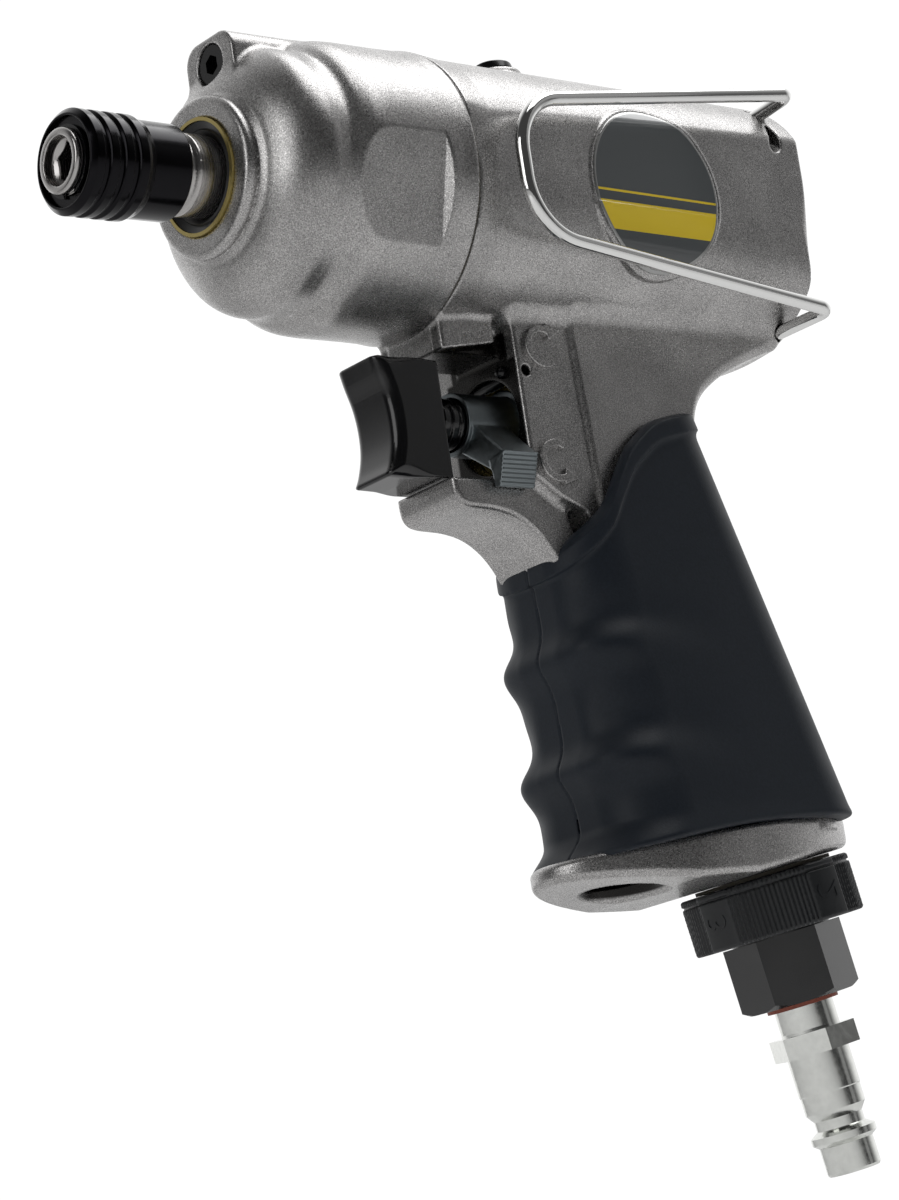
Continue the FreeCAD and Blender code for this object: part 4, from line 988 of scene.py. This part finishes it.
def numeral(text, pad):
    """A small raised digit standing on one smooth pad of the ring."""
    curve = bpy.data.curves.new("digit", "FONT")
    curve.body = text
    curve.size = DIGIT_SIZE
    curve.extrude = DIGIT_PROUD
    curve.align_x = curve.align_y = "CENTER"
    holder = bpy.data.objects.new("digit", curve)
    bpy.context.scene.collection.objects.link(holder)
    flat = bpy.data.meshes.new_from_object(holder.evaluated_get(bpy.context.evaluated_depsgraph_get()))
    bpy.data.objects.remove(holder)
    at = np.array([v.co[:] for v in flat.vertices])
    faces = [tuple(f.vertices) for f in flat.polygons]
    bpy.data.meshes.remove(flat)
    turn = math.radians(pad) + at[:, 1] / RING_R
    r = RING_R - 0.02 + at[:, 2]
    placed = np.stack([103.3 + at[:, 0], r * np.cos(turn), r * np.sin(turn)], 1)
    obj = new_object("digit_" + text, transform(placed, GRIP), faces, smooth=False)
    return dress(obj, "ring_plastic", "regulator_ring")


for text, pad in zip("1234", PADS):
    numeral(text, pad)

# ------------------------------------------------------------------ springs
def spring(name, place, radius, wire, length, turns):
    """A helix of round wire along the first axis of place."""
    angle = np.linspace(0, 2 * math.pi * turns, turns * 20 + 1)
    path = np.stack([angle / angle[-1] * length, radius * np.cos(angle), radius * np.sin(angle)], 1)
    return tube(name, [tuple(q) for q in transform(path, place)], [], wire, 10)


for name, place, sizes, body, joint, anchor, keep in (
        ("sleeve_spring", ((-3.3, 0, 0), (-1, 0, 0), (0, 1, 0)), (6.75, 0.3, 5.1, 4), "anvil", "sleeve_slide",
         (-0.003, 0, 0), 0.38),
        ("throttle_spring", ((-115.3, 0, VALVE_Z), (-1, 0, 0), (0, 1, 0)), (4.2, 0.45, 8.3, 5), "housing",
         "trigger_pull", (-0.1241, 0, VALVE_Z * MM), 0.52)):
    obj = dress(spring(name + "_look", place, *sizes), "hard_steel", body, hides=[name])
    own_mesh(obj)

# ------------------------------------------------------------------ camera, floor and lights
AZIMUTH, ELEVATION, ROLL = (math.radians(v) for v in (140.1, -12.93, -8.36))
CAM_AT = Vector((363.258, 518.622, -228.863))
LIT_POINT = Vector((-0.09, 0, -0.05))        # the middle of the tool, which the soft boxes face
back = Vector((math.sin(AZIMUTH) * math.cos(ELEVATION), -math.cos(AZIMUTH) * math.cos(ELEVATION),
               math.sin(ELEVATION)))
level = Vector((math.cos(AZIMUTH), math.sin(AZIMUTH), 0))
upright = back.cross(level)
cam_right = math.cos(ROLL) * level + math.sin(ROLL) * upright
cam_up = math.cos(ROLL) * upright - math.sin(ROLL) * level
camera_data = bpy.data.cameras.new("camera")
camera_data.lens = 120
camera_data.sensor_width = 36
camera_data.clip_start = 0.05
camera = bpy.data.objects.new("camera", camera_data)
turn = Matrix((cam_right, cam_up, back)).transposed().to_4x4()
camera.matrix_world = Matrix.Translation(CAM_AT * MM) @ turn
bpy.context.scene.collection.objects.link(camera)
bpy.context.scene.camera = camera

FLOOR_Z = -0.24
bpy.ops.mesh.primitive_circle_add(vertices=96, radius=2.5, fill_type="NGON", location=(0, 0, FLOOR_Z))
floor = bpy.context.object
floor.name = "floor"
floor.data.materials.append(material("floor", (0.86, 0.86, 0.86), 0.0, 0.8))


def soft_light(name, toward, distance, width, height, strength):
    """A soft box on the line from the tool toward a direction, facing the tool."""
    data = bpy.data.lights.new(name, "AREA")
    data.shape = "RECTANGLE"
    data.size = width
    data.size_y = height
    data.energy = strength * math.pi * width * height
    light = bpy.data.objects.new(name, data)
    out = Vector(toward).normalized()
    light.location = LIT_POINT + out * distance
    light.rotation_euler = out.to_track_quat("Z", "Y").to_euler()
    bpy.context.scene.collection.objects.link(light)


soft_light("top_box", (-0.35, 0.2, 1.0), 0.9, 0.8, 0.6, 3.0)
soft_light("left_box", (-0.62, 0.72, 0.25), 1.1, 0.3, 0.9, 0.2)
soft_light("front_box", (1.0, 0.15, 0.35), 1.0, 0.5, 0.7, 2.0)

# a room that is bright behind the tool, as the camera sees it, and dark behind the camera
DARK, BRIGHT = 0.05, 1.06
world = bpy.data.worlds.new("studio")
bpy.context.scene.world = world
world.use_nodes = True
tree = world.node_tree
ground = tree.nodes["Background"]
coords = tree.nodes.new("ShaderNodeTexCoord")
dot = tree.nodes.new("ShaderNodeVectorMath")
dot.operation = "DOT_PRODUCT"
dot.inputs[1].default_value = -back
tree.links.new(coords.outputs["Generated"], dot.inputs[0])
spread = tree.nodes.new("ShaderNodeMapRange")
spread.interpolation_type = "SMOOTHSTEP"
for key, number in zip(("From Min", "From Max", "To Min", "To Max"), (-0.1, 0.8, DARK, BRIGHT)):
    spread.inputs[key].default_value = number
tree.links.new(dot.outputs["Value"], spread.inputs["Value"])
tree.links.new(spread.outputs["Result"], ground.inputs["Color"])
bpy.context.scene.view_settings.view_transform = "Standard"
